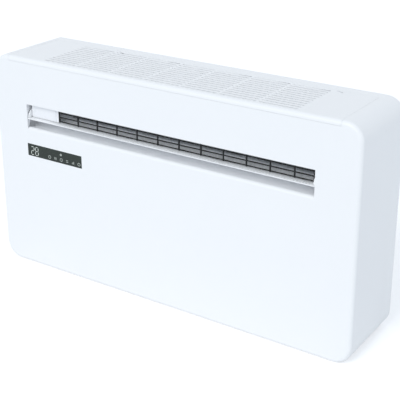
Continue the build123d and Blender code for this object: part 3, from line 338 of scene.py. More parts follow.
def moulded(name, color, roughness=0.5, grain=0.03 * MM, tone=0.02):
    """Spark-eroded plastic: fine grain, faint flow marks and a slowly changing tone."""
    f = Finish(name, coat_weight=0.0)
    slow = f.noise(scale=6.0, detail=3.0)
    fine = f.noise(scale=1400.0, roughness=0.6)
    flow = f.stretched_noise(scale=9.0, stretch=(0.4, 1.0, 3.0), detail=3.0)
    soft = f.bump(flow, depth=grain * 6, strength=0.25)
    return f.set(base_color=f.mix(slow, shade(color, 1 - tone), shade(color, 1 + tone * 0.5)),
                 roughness=roughness - 0.06 + fine * 0.08 + flow * 0.05,
                 normal=f.bump(fine, depth=grain, strength=0.5, after=soft))


def galvanised_sheet(name, color):
    """Zinc spangle: flat crystals with their own tone and gloss, over rolling lines."""
    f = Finish(name)
    crystal = f.cells(scale=120.0)
    tint = f.cells(scale=120.0, out="Color")
    grey = f.node("ShaderNodeRGBToBW", inputs={0: tint})
    lines = f.stretched_noise(scale=60.0, stretch=(0.05, 1.0, 1.0), detail=4.0)
    return f.set(base_color=f.mix(grey, shade(color, 0.86), shade(color, 1.08)), metallic=0.9,
                 roughness=0.32 + grey * 0.16 + lines * 0.08,
                 normal=f.bump(lines + crystal * 0.3, depth=0.02 * MM, strength=0.4))


def turned_steel(name, color):
    """Bright bar with drawing lines along X and faint stains."""
    f = Finish(name)
    lines = f.stretched_noise(scale=300.0, stretch=(0.02, 1.0, 1.0), detail=3.0)
    stain = f.noise(scale=40.0, detail=3.0)
    return f.set(base_color=f.mix(stain, shade(color, 0.9), color), metallic=1.0,
                 roughness=0.2 + lines * 0.15,
                 normal=f.bump(lines, depth=0.01 * MM, strength=0.3))


def drawn_copper(name, color):
    """Copper tube with darker oxide patches and a soft shine."""
    f = Finish(name)
    patch = f.noise(scale=35.0, detail=5.0, roughness=0.65)
    oxide_edge, oxide_slope = 0.45, 4.0
    oxide = ((patch - oxide_edge) * oxide_slope).limited()
    return f.set(base_color=f.mix(oxide, color, shade(color, 0.45)),
                 metallic=1.0 - oxide * 0.25, roughness=0.25 + oxide * 0.3,
                 normal=f.bump(patch, depth=0.02 * MM, strength=0.3))


def sprayed_paint(name, color, roughness, gloss):
    """Sprayed enamel: orange peel and slight dust."""
    f = Finish(name, coat_weight=gloss)
    peel = f.noise(scale=420.0)
    dust = f.noise(scale=14.0, detail=4.0, roughness=0.6)
    return f.set(base_color=f.mix(dust, color, shade(color, 1.25)),
                 roughness=roughness + dust * 0.12,
                 normal=f.bump(peel, depth=0.04 * MM, strength=0.4))


def bead_foam(name, color):
    """Expanded foam: rounded beads pressed flat against each other."""
    f = Finish(name)
    edge = f.cells(scale=330.0, feature="DISTANCE_TO_EDGE")
    tone = f.noise(scale=20.0)
    seam_width, seam_slope = 0.12, 7.0
    seam = ((seam_width - edge) * seam_slope).limited()
    bead = f.mix(tone, color, shade(color, 0.95))
    return f.set(base_color=f.mix(seam, bead, shade(color, 0.8)), roughness=0.7 + tone * 0.15,
                 normal=f.bump(edge, depth=0.4 * MM, strength=0.6))


def moulded_rubber(name, color):
    """Dull rubber with a pale bloom and a fine grain."""
    f = Finish(name)
    bloom = f.noise(scale=60.0, detail=4.0, roughness=0.6)
    return f.set(base_color=f.mix(bloom, color, shade(color, 1.8)), roughness=0.7 + bloom * 0.15,
                 normal=f.bump(f.noise(scale=900.0), depth=0.04 * MM, strength=0.5))


def fin_metal(name, color):
    """Thin aluminium fins: pressed waves across each one, and patches of dust."""
    f = Finish(name)
    _, y, z = f.axes()
    pitch, full = 6.0 * MM, 333.0           # full brings a wave's height to 1
    ripple = (y + z * 0.4).wave(pitch) * full
    dust = f.noise(scale=18.0, detail=4.0, roughness=0.6)
    return f.set(base_color=f.mix(dust, color, shade(color, 0.8)), metallic=0.9,
                 roughness=0.3 + dust * 0.2, normal=f.bump(ripple, depth=0.2 * MM, strength=0.3))


def circuit_board(name, color):
    """Green lacquer over slanting copper tracks, with round tinned pads."""
    f = Finish(name, coat_weight=0.4)
    x, _, z = f.axes()
    pitch, full, tin = 4.0 * MM, 500.0, (0.6, 0.6, 0.58)
    track_edge, pad_size = 0.55, 0.35
    track = ((x + z * 0.5).wave(pitch) * full - track_edge).above(0.0)
    pad = (pad_size - f.cells(scale=260.0)).above(0.0)
    lacquer = f.mix(track, color, shade(color, 1.7))
    return f.set(base_color=f.mix(pad, lacquer, tin), roughness=0.35 + pad * 0.1,
                 metallic=pad * 0.8, normal=f.bump(track, depth=0.04 * MM, strength=0.5))


def dark_window(name, color):
    """Tinted acrylic: a smooth gloss with a faint haze."""
    f = Finish(name, coat_weight=0.1, coat_roughness=0.03)
    haze = f.noise(scale=30.0, detail=3.0)
    return f.set(base_color=f.mix(haze, color, shade(color, 1.15)), roughness=0.12 + haze * 0.05,
                 normal=f.bump(haze, depth=0.01 * MM, strength=0.2))


def lit_mark(name, color, strength):
    """A printed sign with a faint, slightly uneven light of its own."""
    f = Finish(name, roughness=0.4, emission_strength=strength)
    glow = f.noise(scale=500.0)
    shown = f.mix(glow, shade(color, 0.9), color)
    return f.set(base_color=shown, emission_color=shown)


def woven_net(name, color, pitch):
    """A net of round threads: the gaps are see-through, the threads bulge."""
    f = Finish(name)
    x, y, _ = f.axes()
    gap, full = 0.42, 2.0 / pitch           # full brings a thread's height to 1
    thread = (x.wave(pitch) * full).larger(y.wave(pitch) * full)
    dust = f.noise(scale=50.0, detail=4.0, roughness=0.6)
    return f.set(base_color=f.mix(dust, color, shade(color, 1.6)), roughness=0.75 + dust * 0.1,
                 alpha=(thread - gap).above(0.0),
                 normal=f.bump(thread, depth=0.2 * MM, strength=0.5))


# Sizes and colours that a user may change

def length(name, default, description):
    """A size that the sidebar shows in the scene's unit of length."""
    return FloatProperty(name=name, description=description, default=default, unit="LENGTH")


def colour(name, default, description):
    """A colour that the sidebar shows as a swatch."""
    return FloatVectorProperty(name=name, description=description, default=default,
                               subtype="COLOR", min=0, max=1)


class CoolerSizes(bpy.types.PropertyGroup):
    """Sizes of the pieces that this file adds"""
    flap_rib_pitch: length("Flap rib pitch", 7.3625 * MM, "Distance between the ribs on the flap")
    flap_rib_height: length("Flap rib height", 1.5 * MM, "How far a rib stands out of the flap")
    flap_rib_width: length("Flap rib width", 3.0 * MM, "Width of one rib at its foot")
    guard_pitch: length("Guard rib pitch", 58.9 * MM, "Distance between the upright guard ribs")
    guard_first: length("First guard rib", -304.5 * MM, "Place of the leftmost guard rib along X")
    guard_rib: length("Guard rib width", 4.0 * MM, "Width of an upright guard rib")
    guard_bar: length("Guard bar size", 3.0 * MM, "Thickness of a long guard bar")
    guard_bar_pitch: length("Guard bar pitch", 11.0 * MM, "Distance between the long bars")
    fan_blades: IntProperty(name="Fan blades", default=35,
                            description="Blades round the cross-flow wheel")
    fan_sections: IntProperty(name="Fan sections", default=9,
                              description="Sections along the cross-flow wheel")
    fin_pitch: length("Fin pitch", 2.2 * MM, "Distance between the fins of both coils")
    net_pitch: length("Net pitch", 1.6 * MM, "Distance between the threads of the filter")
    digit_height: length("Digit height", 21.0 * MM, "Height of the figures in the display")


class CoolerColours(bpy.types.PropertyGroup):
    """Colours of the pieces that show from outside"""
    casing: colour("Casing", (0.915, 0.922, 0.930), "White of the casing")
    # The flap's own white, set a little lighter than the casing's white as painted light: the extra
    # brightness paints the light on the flap's front strip.
    flap: colour("Flap", (0.955, 0.960, 0.965), "White of the flap")
    outlet: colour("Outlet", (0.90, 0.91, 0.93), "White of the scoop and the end panel")
    guard: colour("Guard", (0.004, 0.005, 0.006), "Black of the finger guard")
    window: colour("Display window", (0.012, 0.020, 0.013), "Tint of the display window")
    figures: colour("Figures", (0.62, 0.66, 0.62), "Colour of the lit figures")


def sizes():
    """The sizes as the user has set them."""
    return bpy.context.scene.cooler_sizes


def colours():
    """The colours as the user has set them."""
    return bpy.context.scene.cooler_colours


def dress(finish, *packed):
    """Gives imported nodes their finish."""
    for node in packed:
        mesh = nodes[node].data
        mesh.materials.clear()
        mesh.materials.append(finish)


# Pieces

class COOLER_OT_stage(bpy.types.Operator):
    """Adds the floor, the pale surroundings, the lights and the camera"""
    bl_idname = "cooler.stage"
    bl_label = "Studio"

    floor_half, floor_thick = 6.0, 0.02                 # metres
    floor_white = ((0.93, 0.93, 0.93), (0.95, 0.95, 0.95))
    floor_rough, floor_glow = 0.9, 0.30
    sky, seen_sky = (0.60, 0.655, 0.72), (1.0, 1.0, 1.0)
    lamp_list = (               # name, way it shines, strength, the angle in radians it fills
        ("key lamp", (0.10, 0.77, -0.63), 1.02, 0.5),
        ("side lamp", (-0.90, 0.25, -0.35), 0.22, 0.9),
    )
    azimuth, elevation = 33.44, 21.13                   # degrees
    distance = 2.32098                                  # metres from the target
    target = (0.03902, 0.0075, 0.34699)                 # metres
    lens, sensor, shift_up, near = 88.505, 36.0, -0.1, 0.05

    def execute(self, context):
        half = self.floor_half
        points, faces = plain_blocks([[-half, -half, -self.floor_thick]], [[half, half, 0.0]])
        mesh = bpy.data.meshes.new("studio_floor")
        mesh.from_pydata(points.tolist(), [], faces.tolist())
        piece = bpy.data.objects.new("studio_floor", mesh)
        context.scene.collection.objects.link(piece)
        mesh.materials.append(self.floor_finish())
        self.world(context)
        self.lamps(context)
        self.camera(context)
        return {"FINISHED"}

    def floor_finish(self):
        """Pale floor; seen by the camera it has a little light of its own, so that only the shadow
        is grey."""
        f = Finish("studio floor", roughness=self.floor_rough, specular_ior_level=0.0)
        white = f.mix(f.noise(scale=2.0), *self.floor_white)
        f.set(base_color=white)
        lit = f.node("ShaderNodeBsdfPrincipled", inputs={
            "Base Color": white, "Roughness": self.floor_rough, "Specular IOR Level": 0.0,
            "Emission Strength": self.floor_glow, "Emission Color": (1.0, 1.0, 1.0)})
        seen = f.node("ShaderNodeLightPath", out="Is Camera Ray")
        plain = Value(f, f.shader.outputs[0])
        mixed = f.node("ShaderNodeMixShader", inputs={0: seen, 1: plain, 2: lit})
        f.tree.links.new(mixed.socket, f.tree.nodes["Material Output"].inputs["Surface"])
        return f.material

    def world(self, context):
        """A soft sky that lights the object, and is white where the camera or a gloss sees it."""
        world = bpy.data.worlds.new("studio")
        context.scene.world = world
        world.use_nodes = True
        tree = world.node_tree
        seen = tree.nodes.new("ShaderNodeLightPath")
        either = tree.nodes.new("ShaderNodeMath")
        either.operation = "MAXIMUM"
        pick = tree.nodes.new("ShaderNodeMix")
        pick.data_type = "RGBA"
        tree.links.new(seen.outputs["Is Camera Ray"], either.inputs[0])
        tree.links.new(seen.outputs["Is Glossy Ray"], either.inputs[1])
        tree.links.new(either.outputs[0], pick.inputs[MIX_FACTOR])
        pick.inputs[MIX_FIRST].default_value = (*self.sky, 1.0)
        pick.inputs[MIX_SECOND].default_value = (*self.seen_sky, 1.0)
        tree.links.new(pick.outputs[MIX_RESULT], tree.nodes["Background"].inputs["Color"])

    def lamps(self, context):
        """Two soft suns, each turned so that it shines along its direction."""
        for name, direction, strength, softness in self.lamp_list:
            lamp = bpy.data.lights.new(name, "SUN")
            lamp.energy = strength
            lamp.angle = softness
            holder = bpy.data.objects.new(name, lamp)
            holder.rotation_euler = Vector(direction).to_track_quat("-Z", "Y").to_euler()
            context.scene.collection.objects.link(holder)

    def camera(self, context):
        """The place that the photograph was taken from, worked out from the casing's corners."""
        turn, rise = math.radians(self.azimuth), math.radians(self.elevation)
        back = Vector((math.sin(turn) * math.cos(rise), -math.cos(turn) * math.cos(rise),
                       math.sin(rise)))
        camera = bpy.data.cameras.new("camera")
        camera.lens = self.lens
        camera.sensor_width = self.sensor
        camera.shift_y = self.shift_up
        camera.clip_start = self.near
        holder = bpy.data.objects.new("camera", camera)
        holder.matrix_world = Matrix.Translation(Vector(self.target) + back * self.distance) @ \
            back.to_track_quat("Z", "Y").to_matrix().to_4x4()
        context.scene.collection.objects.link(holder)
        context.scene.camera = holder
        context.scene.view_settings.view_transform = "Standard"


class COOLER_OT_casing(bpy.types.Operator):
    """Adds the white cover and the lift-off intake grille"""
    bl_idname = "cooler.casing"
    bl_label = "Casing"

    wall, corner_r, edge_r = 3 * MM, 43 * MM, 10 * MM
    front_y = float(cad_bounds[0][1])
    skin_gap, skin_lean = 0.3 * MM, 0.8     # reach and least cosine of a corner on the outer form
    facing, tiny = -0.9, 1e-9               # a front face's normal in Y; keeps a division finite

    def execute(self, context):
        white = moulded("casing white", tuple(colours().casing), roughness=0.40,
                        grain=0.025 * MM, tone=0.012)
        self.cover(white)
        smooth_shell("top_panel", "intake_grille", white, "intake_grille")
        return {"FINISHED"}

    def cover(self, white):
        """The cover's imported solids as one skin, whose outer face is shaded with the form's own
        normals. The ring faces against which its front lies are hidden, and left out."""
        joint = self.front_y + self.wall

        def hidden(face):
            level = all(abs(v.co.y - joint) < MERGE_GAP for v in face.verts)
            return level and face.normal.y < self.facing

        mesh = merged_copy("front_cover", "cover_skin", hidden)
        normals = as_array(mesh.corner_normals, "vector", 3)
        used = as_array(mesh.loops, "vertex_index", kind=int)
        sides = as_array(mesh.polygons, "loop_total", kind=int)
        flat = np.repeat(as_array(mesh.polygons, "normal", 3), sides, axis=0)
        exact, away = self.outer_form(as_array(mesh.vertices, "co", 3)[used])
        skin = (away < self.skin_gap) & ((exact * flat).sum(-1) > self.skin_lean)
        normals[skin] = exact[skin]
        mesh.normals_split_custom_set(normals.tolist())
        placed("cover_skin", mesh, white, "cabinet", ("front_cover",))

    def outer_form(self, points):
        """Normals and distances for a box with corners of radius R in X and Z and a front edge
        rounded by r: with t = (front + r - y) / r kept from 0 to 1, the normal is sqrt(1 - t^2)
        times the outline's in X and Z, and -t in Y."""
        low, high = np.array(cad_bounds)
        middle, half = (low + high) / 2, (high - low) / 2
        x, z = (points - middle)[:, 0], (points - middle)[:, 2]
        over = np.stack([np.abs(x) - half[0], np.abs(z) - half[2]], -1) + self.corner_r
        round_part = np.clip(over, 0, None)
        length_out = np.linalg.norm(round_part, axis=-1)
        in_corner = (over > 0).all(-1)
        inset = self.corner_r - np.where(in_corner, length_out, over.max(-1))
        straight = np.stack([over[:, 0] > over[:, 1], over[:, 0] <= over[:, 1]], -1).astype(float)
        round_out = round_part / np.maximum(length_out, self.tiny)[:, None]
        outline = np.where(in_corner[:, None], round_out, straight)
        outline = outline * np.sign(np.stack([x, z], -1))
        back = self.front_y + self.edge_r - points[:, 1]
        flat_part = inset >= self.edge_r
        t = np.where(flat_part & (back > 0), 1.0, np.clip(back / self.edge_r, 0, 1))
        side = np.sqrt(1 - t ** 2)
        normals = np.stack([side * outline[:, 0], -t, side * outline[:, 1]], -1)
        from_front = np.abs(points[:, 1] - self.front_y)
        from_edge = np.abs(np.hypot(self.edge_r - inset, back) - self.edge_r)
        away = np.where(back <= 0, np.abs(inset), np.where(flat_part, from_front, from_edge))
        return normals, away


class COOLER_OT_filters(bpy.types.Operator):
    """Finishes the filter frames and their nets"""
    bl_idname = "cooler.filters"
    bl_label = "Filters"

    def execute(self, context):
        dress(moulded("filter frame grey", (0.25, 0.27, 0.30)), "filter_left", "filter_right")
        dress(woven_net("filter net", (0.05, 0.055, 0.06), sizes().net_pitch), "filter_mesh")
        return {"FINISHED"}


class COOLER_OT_flap(bpy.types.Operator):
    """Adds the outlet flap with the fine ribs on its upper face, and dresses its pivots"""
    bl_idname = "cooler.flap"
    bl_label = "Flap"

    rib_level = 2.5 * MM                    # a rib's middle over the blade's underside
    end_margin, edge_margin = 6 * MM, 2.5 * MM
    rib_back = 0.5 * MM                     # a rib's middle behind the blade's

    def execute(self, context):
        # The flap white is lighter than the casing white as painted light, for the bright strip along
        # the flap's front.
        white = moulded("flap white lightened as painted light", tuple(colours().flap), roughness=0.42,
                        grain=0.02 * MM, tone=0.012)
        smooth_shell("flap_blade", "flap_skin", white, "flap")
        points, faces = self.ribs()
        new_piece("flap_ribs", points, faces, white, "flap")
        dress(turned_steel("pivot steel", (0.60, 0.60, 0.61)), "flap_pin", "flap_drive_shaft")
        return {"FINISHED"}

    def ribs(self):
        """Low rounded ribs from the front edge to the back edge of the flap, one pitch apart, half
        sunk; one of them stands under each guard rib."""
        s = sizes()
        first, pitch = s.guard_first, s.flap_rib_pitch
        low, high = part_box("flap_blade")
        x = np.concatenate([np.arange(first - pitch, low[0] + self.end_margin, -pitch)[::-1],
                            np.arange(first, high[0] - self.end_margin, pitch)])
        y = (low[1] + high[1]) / 2 + self.rib_back
        z = low[2] + self.rib_level
        centres = np.stack([x, np.full_like(x, y), np.full_like(x, z)], -1)
        halves = [s.flap_rib_width / 2, (high[1] - low[1]) / 2 - self.edge_margin,
                  s.flap_rib_height]
        return soft_blocks(centres, halves, section=2.2, ends=8.0, around=10, along=8, axis=1)


class COOLER_OT_guard(bpy.types.Operator):
    """Adds the black finger guard: round long bars, upright ribs with soft edges, the top rail"""
    bl_idname = "cooler.guard"
    bl_label = "Guard"

    rail_half = 4 * MM
    overlap = 1 * MM                        # the ribs reach so far into the rail
    first_bar = 9.5 * MM                    # from the rail's underside to the uppermost bar
    rib_count, bar_count = 12, 3            # and one more rib at the right end
    bar_short, bar_thin = 0.2 * MM, 0.4 * MM    # the bars end and lie so far inside the guard

    def execute(self, context):
        black = moulded("guard black", tuple(colours().guard), roughness=0.6,
                        grain=0.02 * MM, tone=0.05)
        s = sizes()
        low, high = np.array(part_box("outlet_guard"))
        (mid_x, mid_y, _), (span, depth, _) = (low + high) / 2, (high - low) / 2
        rail_low = high[2] - 2 * self.rail_half
        x = np.append(s.guard_first + s.guard_pitch * np.arange(self.rib_count),
                      high[0] - s.guard_rib / 2)
        tall = (rail_low + self.overlap - low[2]) / 2
        centres = np.stack([x, np.full_like(x, mid_y), np.full_like(x, low[2] + tall)], -1)
        ribs = soft_blocks(centres, [s.guard_rib / 2, depth, tall],
                           section=3.0, ends=10.0, around=16, along=8, axis=2)
        z = rail_low - self.first_bar - s.guard_bar_pitch * np.arange(self.bar_count)
        centres = np.stack([np.full_like(z, mid_x), np.full_like(z, mid_y), z], -1)
        bars = soft_blocks(centres, [span - self.bar_short, depth - self.bar_thin, s.guard_bar / 2],
                           section=2.2, ends=40.0, around=14, along=8, axis=0)
        rail = soft_blocks([[mid_x, mid_y, high[2] - self.rail_half]],
                           [[span, depth, self.rail_half]],
                           section=8.0, ends=60.0, around=20, along=8, axis=0)
        points, faces = joined(ribs, bars, rail)
        new_piece("finger_guard", points, faces, black, "cabinet",
                  stands_for=("outlet_guard",))
        return {"FINISHED"}


class COOLER_OT_outlet(bpy.types.Operator):
    """Adds the smooth scoop, the outlet's ceiling and the white end panel"""
    bl_idname = "cooler.outlet"
    bl_label = "Outlet"

    def execute(self, context):
        white = moulded("outlet white", tuple(colours().outlet), roughness=0.45,
                        grain=0.02 * MM, tone=0.015)
        smooth_shell("air_guide", "scoop_and_scroll", white, "cabinet")
        dress(white, "duct_ceiling", "guard_end_cover")
        return {"FINISHED"}


class COOLER_OT_fan(bpy.types.Operator):
    """Adds the cross-flow wheel with its curved, slightly skewed blades"""
    bl_idname = "cooler.fan"
    bl_label = "Cross-flow wheel"

    blade_deep = 9.5 * MM                   # along the radius
    rim = 0.5 * MM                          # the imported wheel's reach past the blades
    middle_thick, edge_thick = 0.7, 0.25    # a blade's thickness in mm
    lean, skew, stagger = 0.34, 0.09, 0.6   # radians over a chord, over a section, to the next
    ring_half, ring_edge = 0.8 * MM, 0.5 * MM
    ring_in, ring_out = 1 * MM, 0.4 * MM    # past the blades, towards the axis and away from it
    end_gap = 1 * MM                        # from the wheel's end to the middle of its first ring
    blade_points, ring_points = 6, 72
    shaft_hole = 4.02 * MM

    def execute(self, context):
        grey = moulded("wheel plastic", (0.30, 0.34, 0.34), tone=0.06)
        points, faces = self.wheel()
        new_piece("fan_wheel", points, faces, grey, "room_fan",
                  stands_for=("room_fan_wheel",))
        dress(turned_steel("shaft steel", (0.55, 0.55, 0.56)), "room_fan_shaft")
        dress(moulded_rubber("bearing rubber", (0.02, 0.02, 0.02)), "room_fan_bearing")
        return {"FINISHED"}

    def wheel(self):
        """Each blade section is an arc r = 31.5 to 41 mm, leaning back with the radius and skewed
        with x; its thickness is t(c) = 0.7 sin(pi c) + 0.25 mm along the chord c. The rings are
        flat washers between the sections."""
        s = sizes()
        low, high = np.array(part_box("room_fan_wheel"))
        y, z = (low[1] + high[1]) / 2, (low[2] + high[2]) / 2
        outer = (high[2] - low[2]) / 2 - self.rim
        inner = outer - self.blade_deep
        chord = np.linspace(0, 1, self.blade_points)
        loop = np.concatenate([chord, chord[::-1]])
        side = np.repeat([1.0, -1.0], len(chord))
        thick = (self.middle_thick * np.sin(np.pi * loop) + self.edge_thick) * MM * side / 2
        radius = inner + (outer - inner) * loop
        edges = np.linspace(low[0] + self.end_gap, high[0] - self.end_gap, s.fan_sections + 1)
        x = np.stack([edges[:-1], edges[1:]], -1)[:, None, :, None]
        start = np.arange(s.fan_sections)[:, None, None, None] * self.stagger
        turn = (2 * np.pi * np.arange(s.fan_blades) / s.fan_blades)[None, :, None, None]
        skew = np.array([0.0, self.skew])[None, None, :, None]
        angle = turn + start + skew + (self.lean * loop ** 2 + thick / radius)
        points = np.stack(np.broadcast_arrays(x, y + radius * np.cos(angle),
                                              z + radius * np.sin(angle)), -1)
        faces = repeated(grid_faces(2, len(loop), True), 2 * len(loop),
                         s.fan_sections * s.fan_blades)
        rings = self.rings(edges, y, z, inner - self.ring_in, outer + self.ring_out)
        return joined((points.reshape(-1, 3), faces), rings)

    def rings(self, edges, y, z, inner, outer):
        """Washers of 1.6 mm at every section's end; the two outer ones reach in to the shaft."""
        turn = np.linspace(0, 2 * np.pi, self.ring_points, endpoint=False)
        flank = outer - self.ring_edge
        shapes = []
        for x in edges:
            hole = self.shaft_hole if x in (edges[0], edges[-1]) else inner
            r = np.array([hole, flank, outer, flank, hole])[:, None]
            along = np.array([-1, -1, 0, 1, 1])[:, None] * self.ring_half + 0 * turn
            band = np.stack([x + along, y + r * np.cos(turn), z + r * np.sin(turn)], -1)
            points = np.concatenate([band, band[:1]])
            faces = grid_faces(len(points), self.ring_points, True)
            shapes.append((points.reshape(-1, 3), faces))
        return joined(*shapes)


class COOLER_OT_coils(bpy.types.Operator):
    """Adds the fins of the evaporator and the condenser, and dresses their tubes"""
    bl_idname = "cooler.coils"
    bl_label = "Coils"

    evaporator_tilt = 8.0                   # degrees about X
    evaporator_half = (0.0849, 0.0129)      # metres in Y and Z, before the tilt
    side_gap = 0.0001                       # the condenser's fins end so far inside its block
    end_gap, fin_thick = 0.2 * MM, 0.25 * MM
    tube_pitch, tube_half, tube_short = 0.021, 3.4 * MM, 0.3 * MM

    def execute(self, context):
        fins = fin_metal("fin aluminium", (0.75, 0.77, 0.79))
        dress(drawn_copper("tube copper", (0.72, 0.36, 0.22)), "evaporator_bends",
              "condenser_bends", "four_way_valve", "discharge_pipe", "suction_pipe", "liquid_pipe")
        dress(galvanised_sheet("end plate zinc", (0.60, 0.62, 0.64)), "evaporator_plates")

        low, high = np.array(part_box("evaporator_core"))
        y, z = (low[1] + high[1]) / 2, (low[2] + high[2]) / 2
        points, faces = self.fins(low[0], high[0], (y, z), self.evaporator_half)
        points = turned_about_x(points, y, z, -math.radians(self.evaporator_tilt))
        new_piece("evaporator_fins", points, faces, fins, "cabinet", smooth=False,
                  stands_for=("evaporator_core",))

        low, high = np.array(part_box("condenser_core"))
        y, z = (low[1] + high[1]) / 2, (low[2] + high[2]) / 2
        half = ((high[1] - low[1]) / 2 - self.side_gap, (high[2] - low[2]) / 2)
        points, faces = self.fins(low[0], high[0], (y, z), half)
        new_piece("condenser_fins", points, faces, fins, "cabinet", smooth=False,
                  stands_for=("condenser_core",))
        return {"FINISHED"}

    def fins(self, x0, x1, middle, half):
        """Thin plates at equal steps along X, with two rows of tubes through them as round bars
        along the longer of the two half sizes."""
        x = np.arange(x0 + self.end_gap, x1 - self.end_gap, sizes().fin_pitch)
        y, z = middle
        low = np.stack([x, np.full_like(x, y - half[0]), np.full_like(x, z - half[1])], -1)
        high = np.stack([x + self.fin_thick, np.full_like(x, y + half[0]),
                         np.full_like(x, z + half[1])], -1)
        long_side = 0 if half[0] > half[1] else 1
        count = int(half[long_side] * 2 / self.tube_pitch)
        steps = (np.arange(count) - (count - 1) / 2) * self.tube_pitch
        rows = np.array([-0.5, 0.5]) * half[1 - long_side]
        a, b = [v.ravel() for v in np.meshgrid(steps, rows)]
        across, up = (a, b) if long_side == 0 else (b, a)
        centres = np.stack([np.full_like(a, (x0 + x1) / 2), y + across, z + up], -1)
        halves = [(x1 - x0) / 2 - self.tube_short, self.tube_half, self.tube_half]
        tubes = soft_blocks(centres, halves, section=2.0, ends=60.0, around=12, along=6, axis=0)
        return joined(plain_blocks(low, high), tubes)


class COOLER_OT_display(bpy.types.Operator):
    """Adds the dark window with its figures and symbols"""
    bl_idname = "cooler.display"
    bl_label = "Display"

    print_gap, print_half = 0.03 * MM, 0.05 * MM    # a sign's place over the window, its thickness
    first_figure, figure_pitch, figure_drop = 15.5 * MM, 13.5 * MM, 1.5 * MM
    figure_width = 0.22                     # half the width over the height
    bar_half, lying_gap, upright_gap = 1.1 * MM / 1.2, 1.2 * MM, 1.0 * MM
    first_symbol, symbol_pitch, symbol_drop = 71 * MM, 18.8 * MM, 7 * MM
    level = {"top": (0, 1), "middle": (0, 0), "bottom": (0, -1)}
    post = {"upper_left": (-1, 0.5), "upper_right": (1, 0.5),
            "lower_left": (-1, -0.5), "lower_right": (1, -0.5)}
    lit = (("top", "upper_right", "middle", "lower_left", "bottom"),
           ("top", "upper_left", "upper_right", "middle", "lower_left", "lower_right", "bottom"))
    ring_places, ring_size = (0, 2, 5), (3.6 * MM, 0.7 * MM)
    lamp_place, lamp_size = (37 * MM, 13 * MM), (1.9 * MM, 1.2 * MM)
    symbol_bars = (                 # place in the row; middle across and up, half width and height
        (1, -2.8, 0, 0.7, 3.6), (1, 0, 0, 0.7, 3.6), (1, 2.8, 0, 0.7, 3.6),
        (3, 0, 2.0, 3.8, 0.8), (3, 0, -2.0, 3.8, 0.8),
        (4, -2.6, -1.6, 0.8, 2.0), (4, 0, -0.6, 0.8, 3.0), (4, 2.6, 0.4, 0.8, 4.0),
    )

    def execute(self, context):
        dress(dark_window("display tint", tuple(colours().window)), "display_window")
        dress(circuit_board("display board", (0.02, 0.10, 0.05)), "display_board")
        low, high = np.array(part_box("display_window"))
        face = low[1] - self.print_gap
        color = tuple(colours().figures)
        bright = lit_mark("figure light", color, 0.25)
        faint = lit_mark("symbol light", shade(color, 0.6), 0.2)
        points, faces = self.figures(low, high, face)
        new_piece("display_figures", points, faces, bright, "cabinet")
        points, faces = self.symbols(low, high, face)
        new_piece("display_symbols", points, faces, faint, "cabinet")
        return {"FINISHED"}

    def figures(self, low, high, face):
        """Two figures, each made of the lit ones of seven bars that stand like an eight."""
        tall = sizes().digit_height
        half_w, half_h = tall * self.figure_width, tall / 2
        z = (low[2] + high[2]) / 2 - self.figure_drop
        lying = [half_w - self.lying_gap, self.print_half, self.bar_half]
        upright = [self.bar_half, self.print_half, half_h / 2 - self.upright_gap]
        centres, halves = [], []
        for i, names in enumerate(self.lit):
            x = low[0] + self.first_figure + i * self.figure_pitch
            for key in names:
                across, up = self.level.get(key) or self.post[key]
                centres.append([x + across * half_w, face, z + up * half_h])
                halves.append(lying if key in self.level else upright)
        return soft_blocks(centres, halves, section=3.0, ends=3.0, around=16, along=8, axis=1)

    def symbols(self, low, high, face):
        """A row of small generic signs, each a ring or a few bars, and one lamp above them."""
        z = (low[2] + high[2]) / 2 - self.symbol_drop
        start = low[0] + self.first_symbol
        rings = [self.ring(start + i * self.symbol_pitch, face, z, *self.ring_size)
                 for i in self.ring_places]
        place, across, up, wide, tall = np.array(self.symbol_bars).T
        x = start + place * self.symbol_pitch + across * MM
        centres = np.stack([x, np.full_like(x, face), z + up * MM], -1)
        halves = np.stack([wide * MM, np.full_like(x, self.print_half), tall * MM], -1)
        bars = soft_blocks(centres, halves, section=3.0, ends=3.0, around=12, along=6, axis=1)
        lamp = self.ring(start + self.lamp_place[0], face, z + self.lamp_place[1],
                         *self.lamp_size)
        return joined(bars, lamp, *rings)

    def ring(self, x, y, z, radius, wire):
        """Flat torus: x + (R + w cos v) cos u, z + (R + w cos v) sin u, and y + 0.05 mm sin v."""
        around, across = 28, 9
        u = np.linspace(0, 2 * np.pi, around, endpoint=False)[None, :]
        v = np.linspace(0, 2 * np.pi, across)[:, None]
        r = radius + wire * np.cos(v)
        points = np.stack([x + r * np.cos(u), y + self.print_half * np.sin(v) + 0 * u,
                           z + r * np.sin(u)], -1)
        return points.reshape(-1, 3), grid_faces(across, around, True)


class COOLER_OT_back(bpy.types.Operator):
    """Dresses the back plate, the bracket, the duct collars, the drain and the screws"""
    bl_idname = "cooler.back"
    bl_label = "Back"

    def execute(self, context):
        dress(sprayed_paint("back plate paint", (0.62, 0.64, 0.66), roughness=0.42, gloss=0.1),
              "back_plate")
        dress(galvanised_sheet("bracket zinc", (0.58, 0.60, 0.62)), "wall_bracket")
        dress(turned_steel("screw steel", (0.55, 0.55, 0.56)), "back_screws")
        dress(moulded("collar grey", (0.16, 0.17, 0.18), grain=0.04 * MM, tone=0.05),
              "duct_collars", "drain_spigot", "cable_gland")
        return {"FINISHED"}


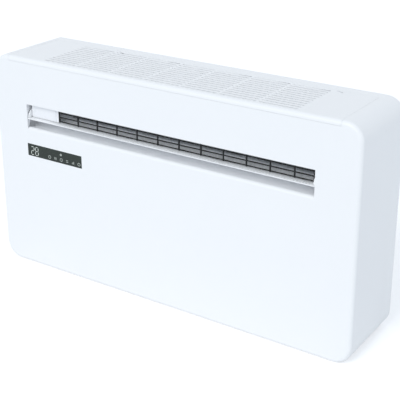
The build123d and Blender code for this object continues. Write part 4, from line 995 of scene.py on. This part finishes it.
class COOLER_OT_machinery(bpy.types.Operator):
    """Dresses the compressor, the outdoor fan, the sheet metal, the tray and the controls"""
    bl_idname = "cooler.machinery"
    bl_label = "Machinery"

    def execute(self, context):
        dress(galvanised_sheet("pan zinc", (0.60, 0.62, 0.64)), "base_pan", "bulkhead_left",
              "bulkhead_right", "condenser_shroud", "electrical_box", "electrical_lid")
        dress(sprayed_paint("compressor black", (0.015, 0.015, 0.016), roughness=0.3, gloss=0.4),
              "compressor", "accumulator")
        dress(sprayed_paint("motor grey", (0.12, 0.13, 0.14), roughness=0.4, gloss=0.1),
              "room_fan_motor", "outdoor_fan_motor")
        dress(moulded("housing grey", (0.14, 0.15, 0.16), grain=0.04 * MM, tone=0.05),
              "scroll_front", "outdoor_scroll", "scroll_rear", "inlet_ring", "drip_tray",
              "motor_cradle", "flap_motor", "capacitor")
        dress(moulded("impeller black", (0.02, 0.02, 0.022), grain=0.04 * MM, tone=0.08),
              "outdoor_impeller")
        dress(turned_steel("bolt steel", (0.55, 0.55, 0.56)), "outdoor_fan_shaft",
              "compressor_bolts")
        dress(moulded_rubber("foot rubber", (0.02, 0.02, 0.02)), "compressor_grommets")
        dress(bead_foam("partition foam", (0.84, 0.84, 0.82)), "divider")
        dress(circuit_board("control board", (0.02, 0.12, 0.06)), "control_board")
        return {"FINISHED"}


class COOLER_PT_panel(bpy.types.Panel):
    """Lists the pieces and their sizes in the sidebar"""
    bl_idname = "COOLER_PT_panel"
    bl_label = "Cooler"
    bl_space_type = "VIEW_3D"
    bl_region_type = "UI"
    bl_category = "Cooler"

    def draw(self, context):
        for operator in operators:
            self.layout.operator(operator.bl_idname)
        for group in (context.scene.cooler_sizes, context.scene.cooler_colours):
            box = self.layout.box()
            for key in group.__annotations__:
                box.prop(group, key)


operators = (COOLER_OT_stage, COOLER_OT_casing, COOLER_OT_filters, COOLER_OT_flap,
             COOLER_OT_guard, COOLER_OT_outlet, COOLER_OT_fan, COOLER_OT_coils,
             COOLER_OT_display, COOLER_OT_back, COOLER_OT_machinery)
classes = (CoolerSizes, CoolerColours, *operators, COOLER_PT_panel)


def register():
    for cls in classes:
        bpy.utils.register_class(cls)
    bpy.types.Scene.cooler_sizes = PointerProperty(type=CoolerSizes)
    bpy.types.Scene.cooler_colours = PointerProperty(type=CoolerColours)


def unregister():
    del bpy.types.Scene.cooler_sizes
    del bpy.types.Scene.cooler_colours
    for cls in reversed(classes):
        bpy.utils.unregister_class(cls)


def main():
    register()
    add = bpy.ops.cooler
    for step in (add.stage, add.casing, add.filters, add.flap, add.guard, add.outlet, add.fan,
                 add.coils, add.display, add.back, add.machinery):
        step()


if __name__ == "__main__":
    main()
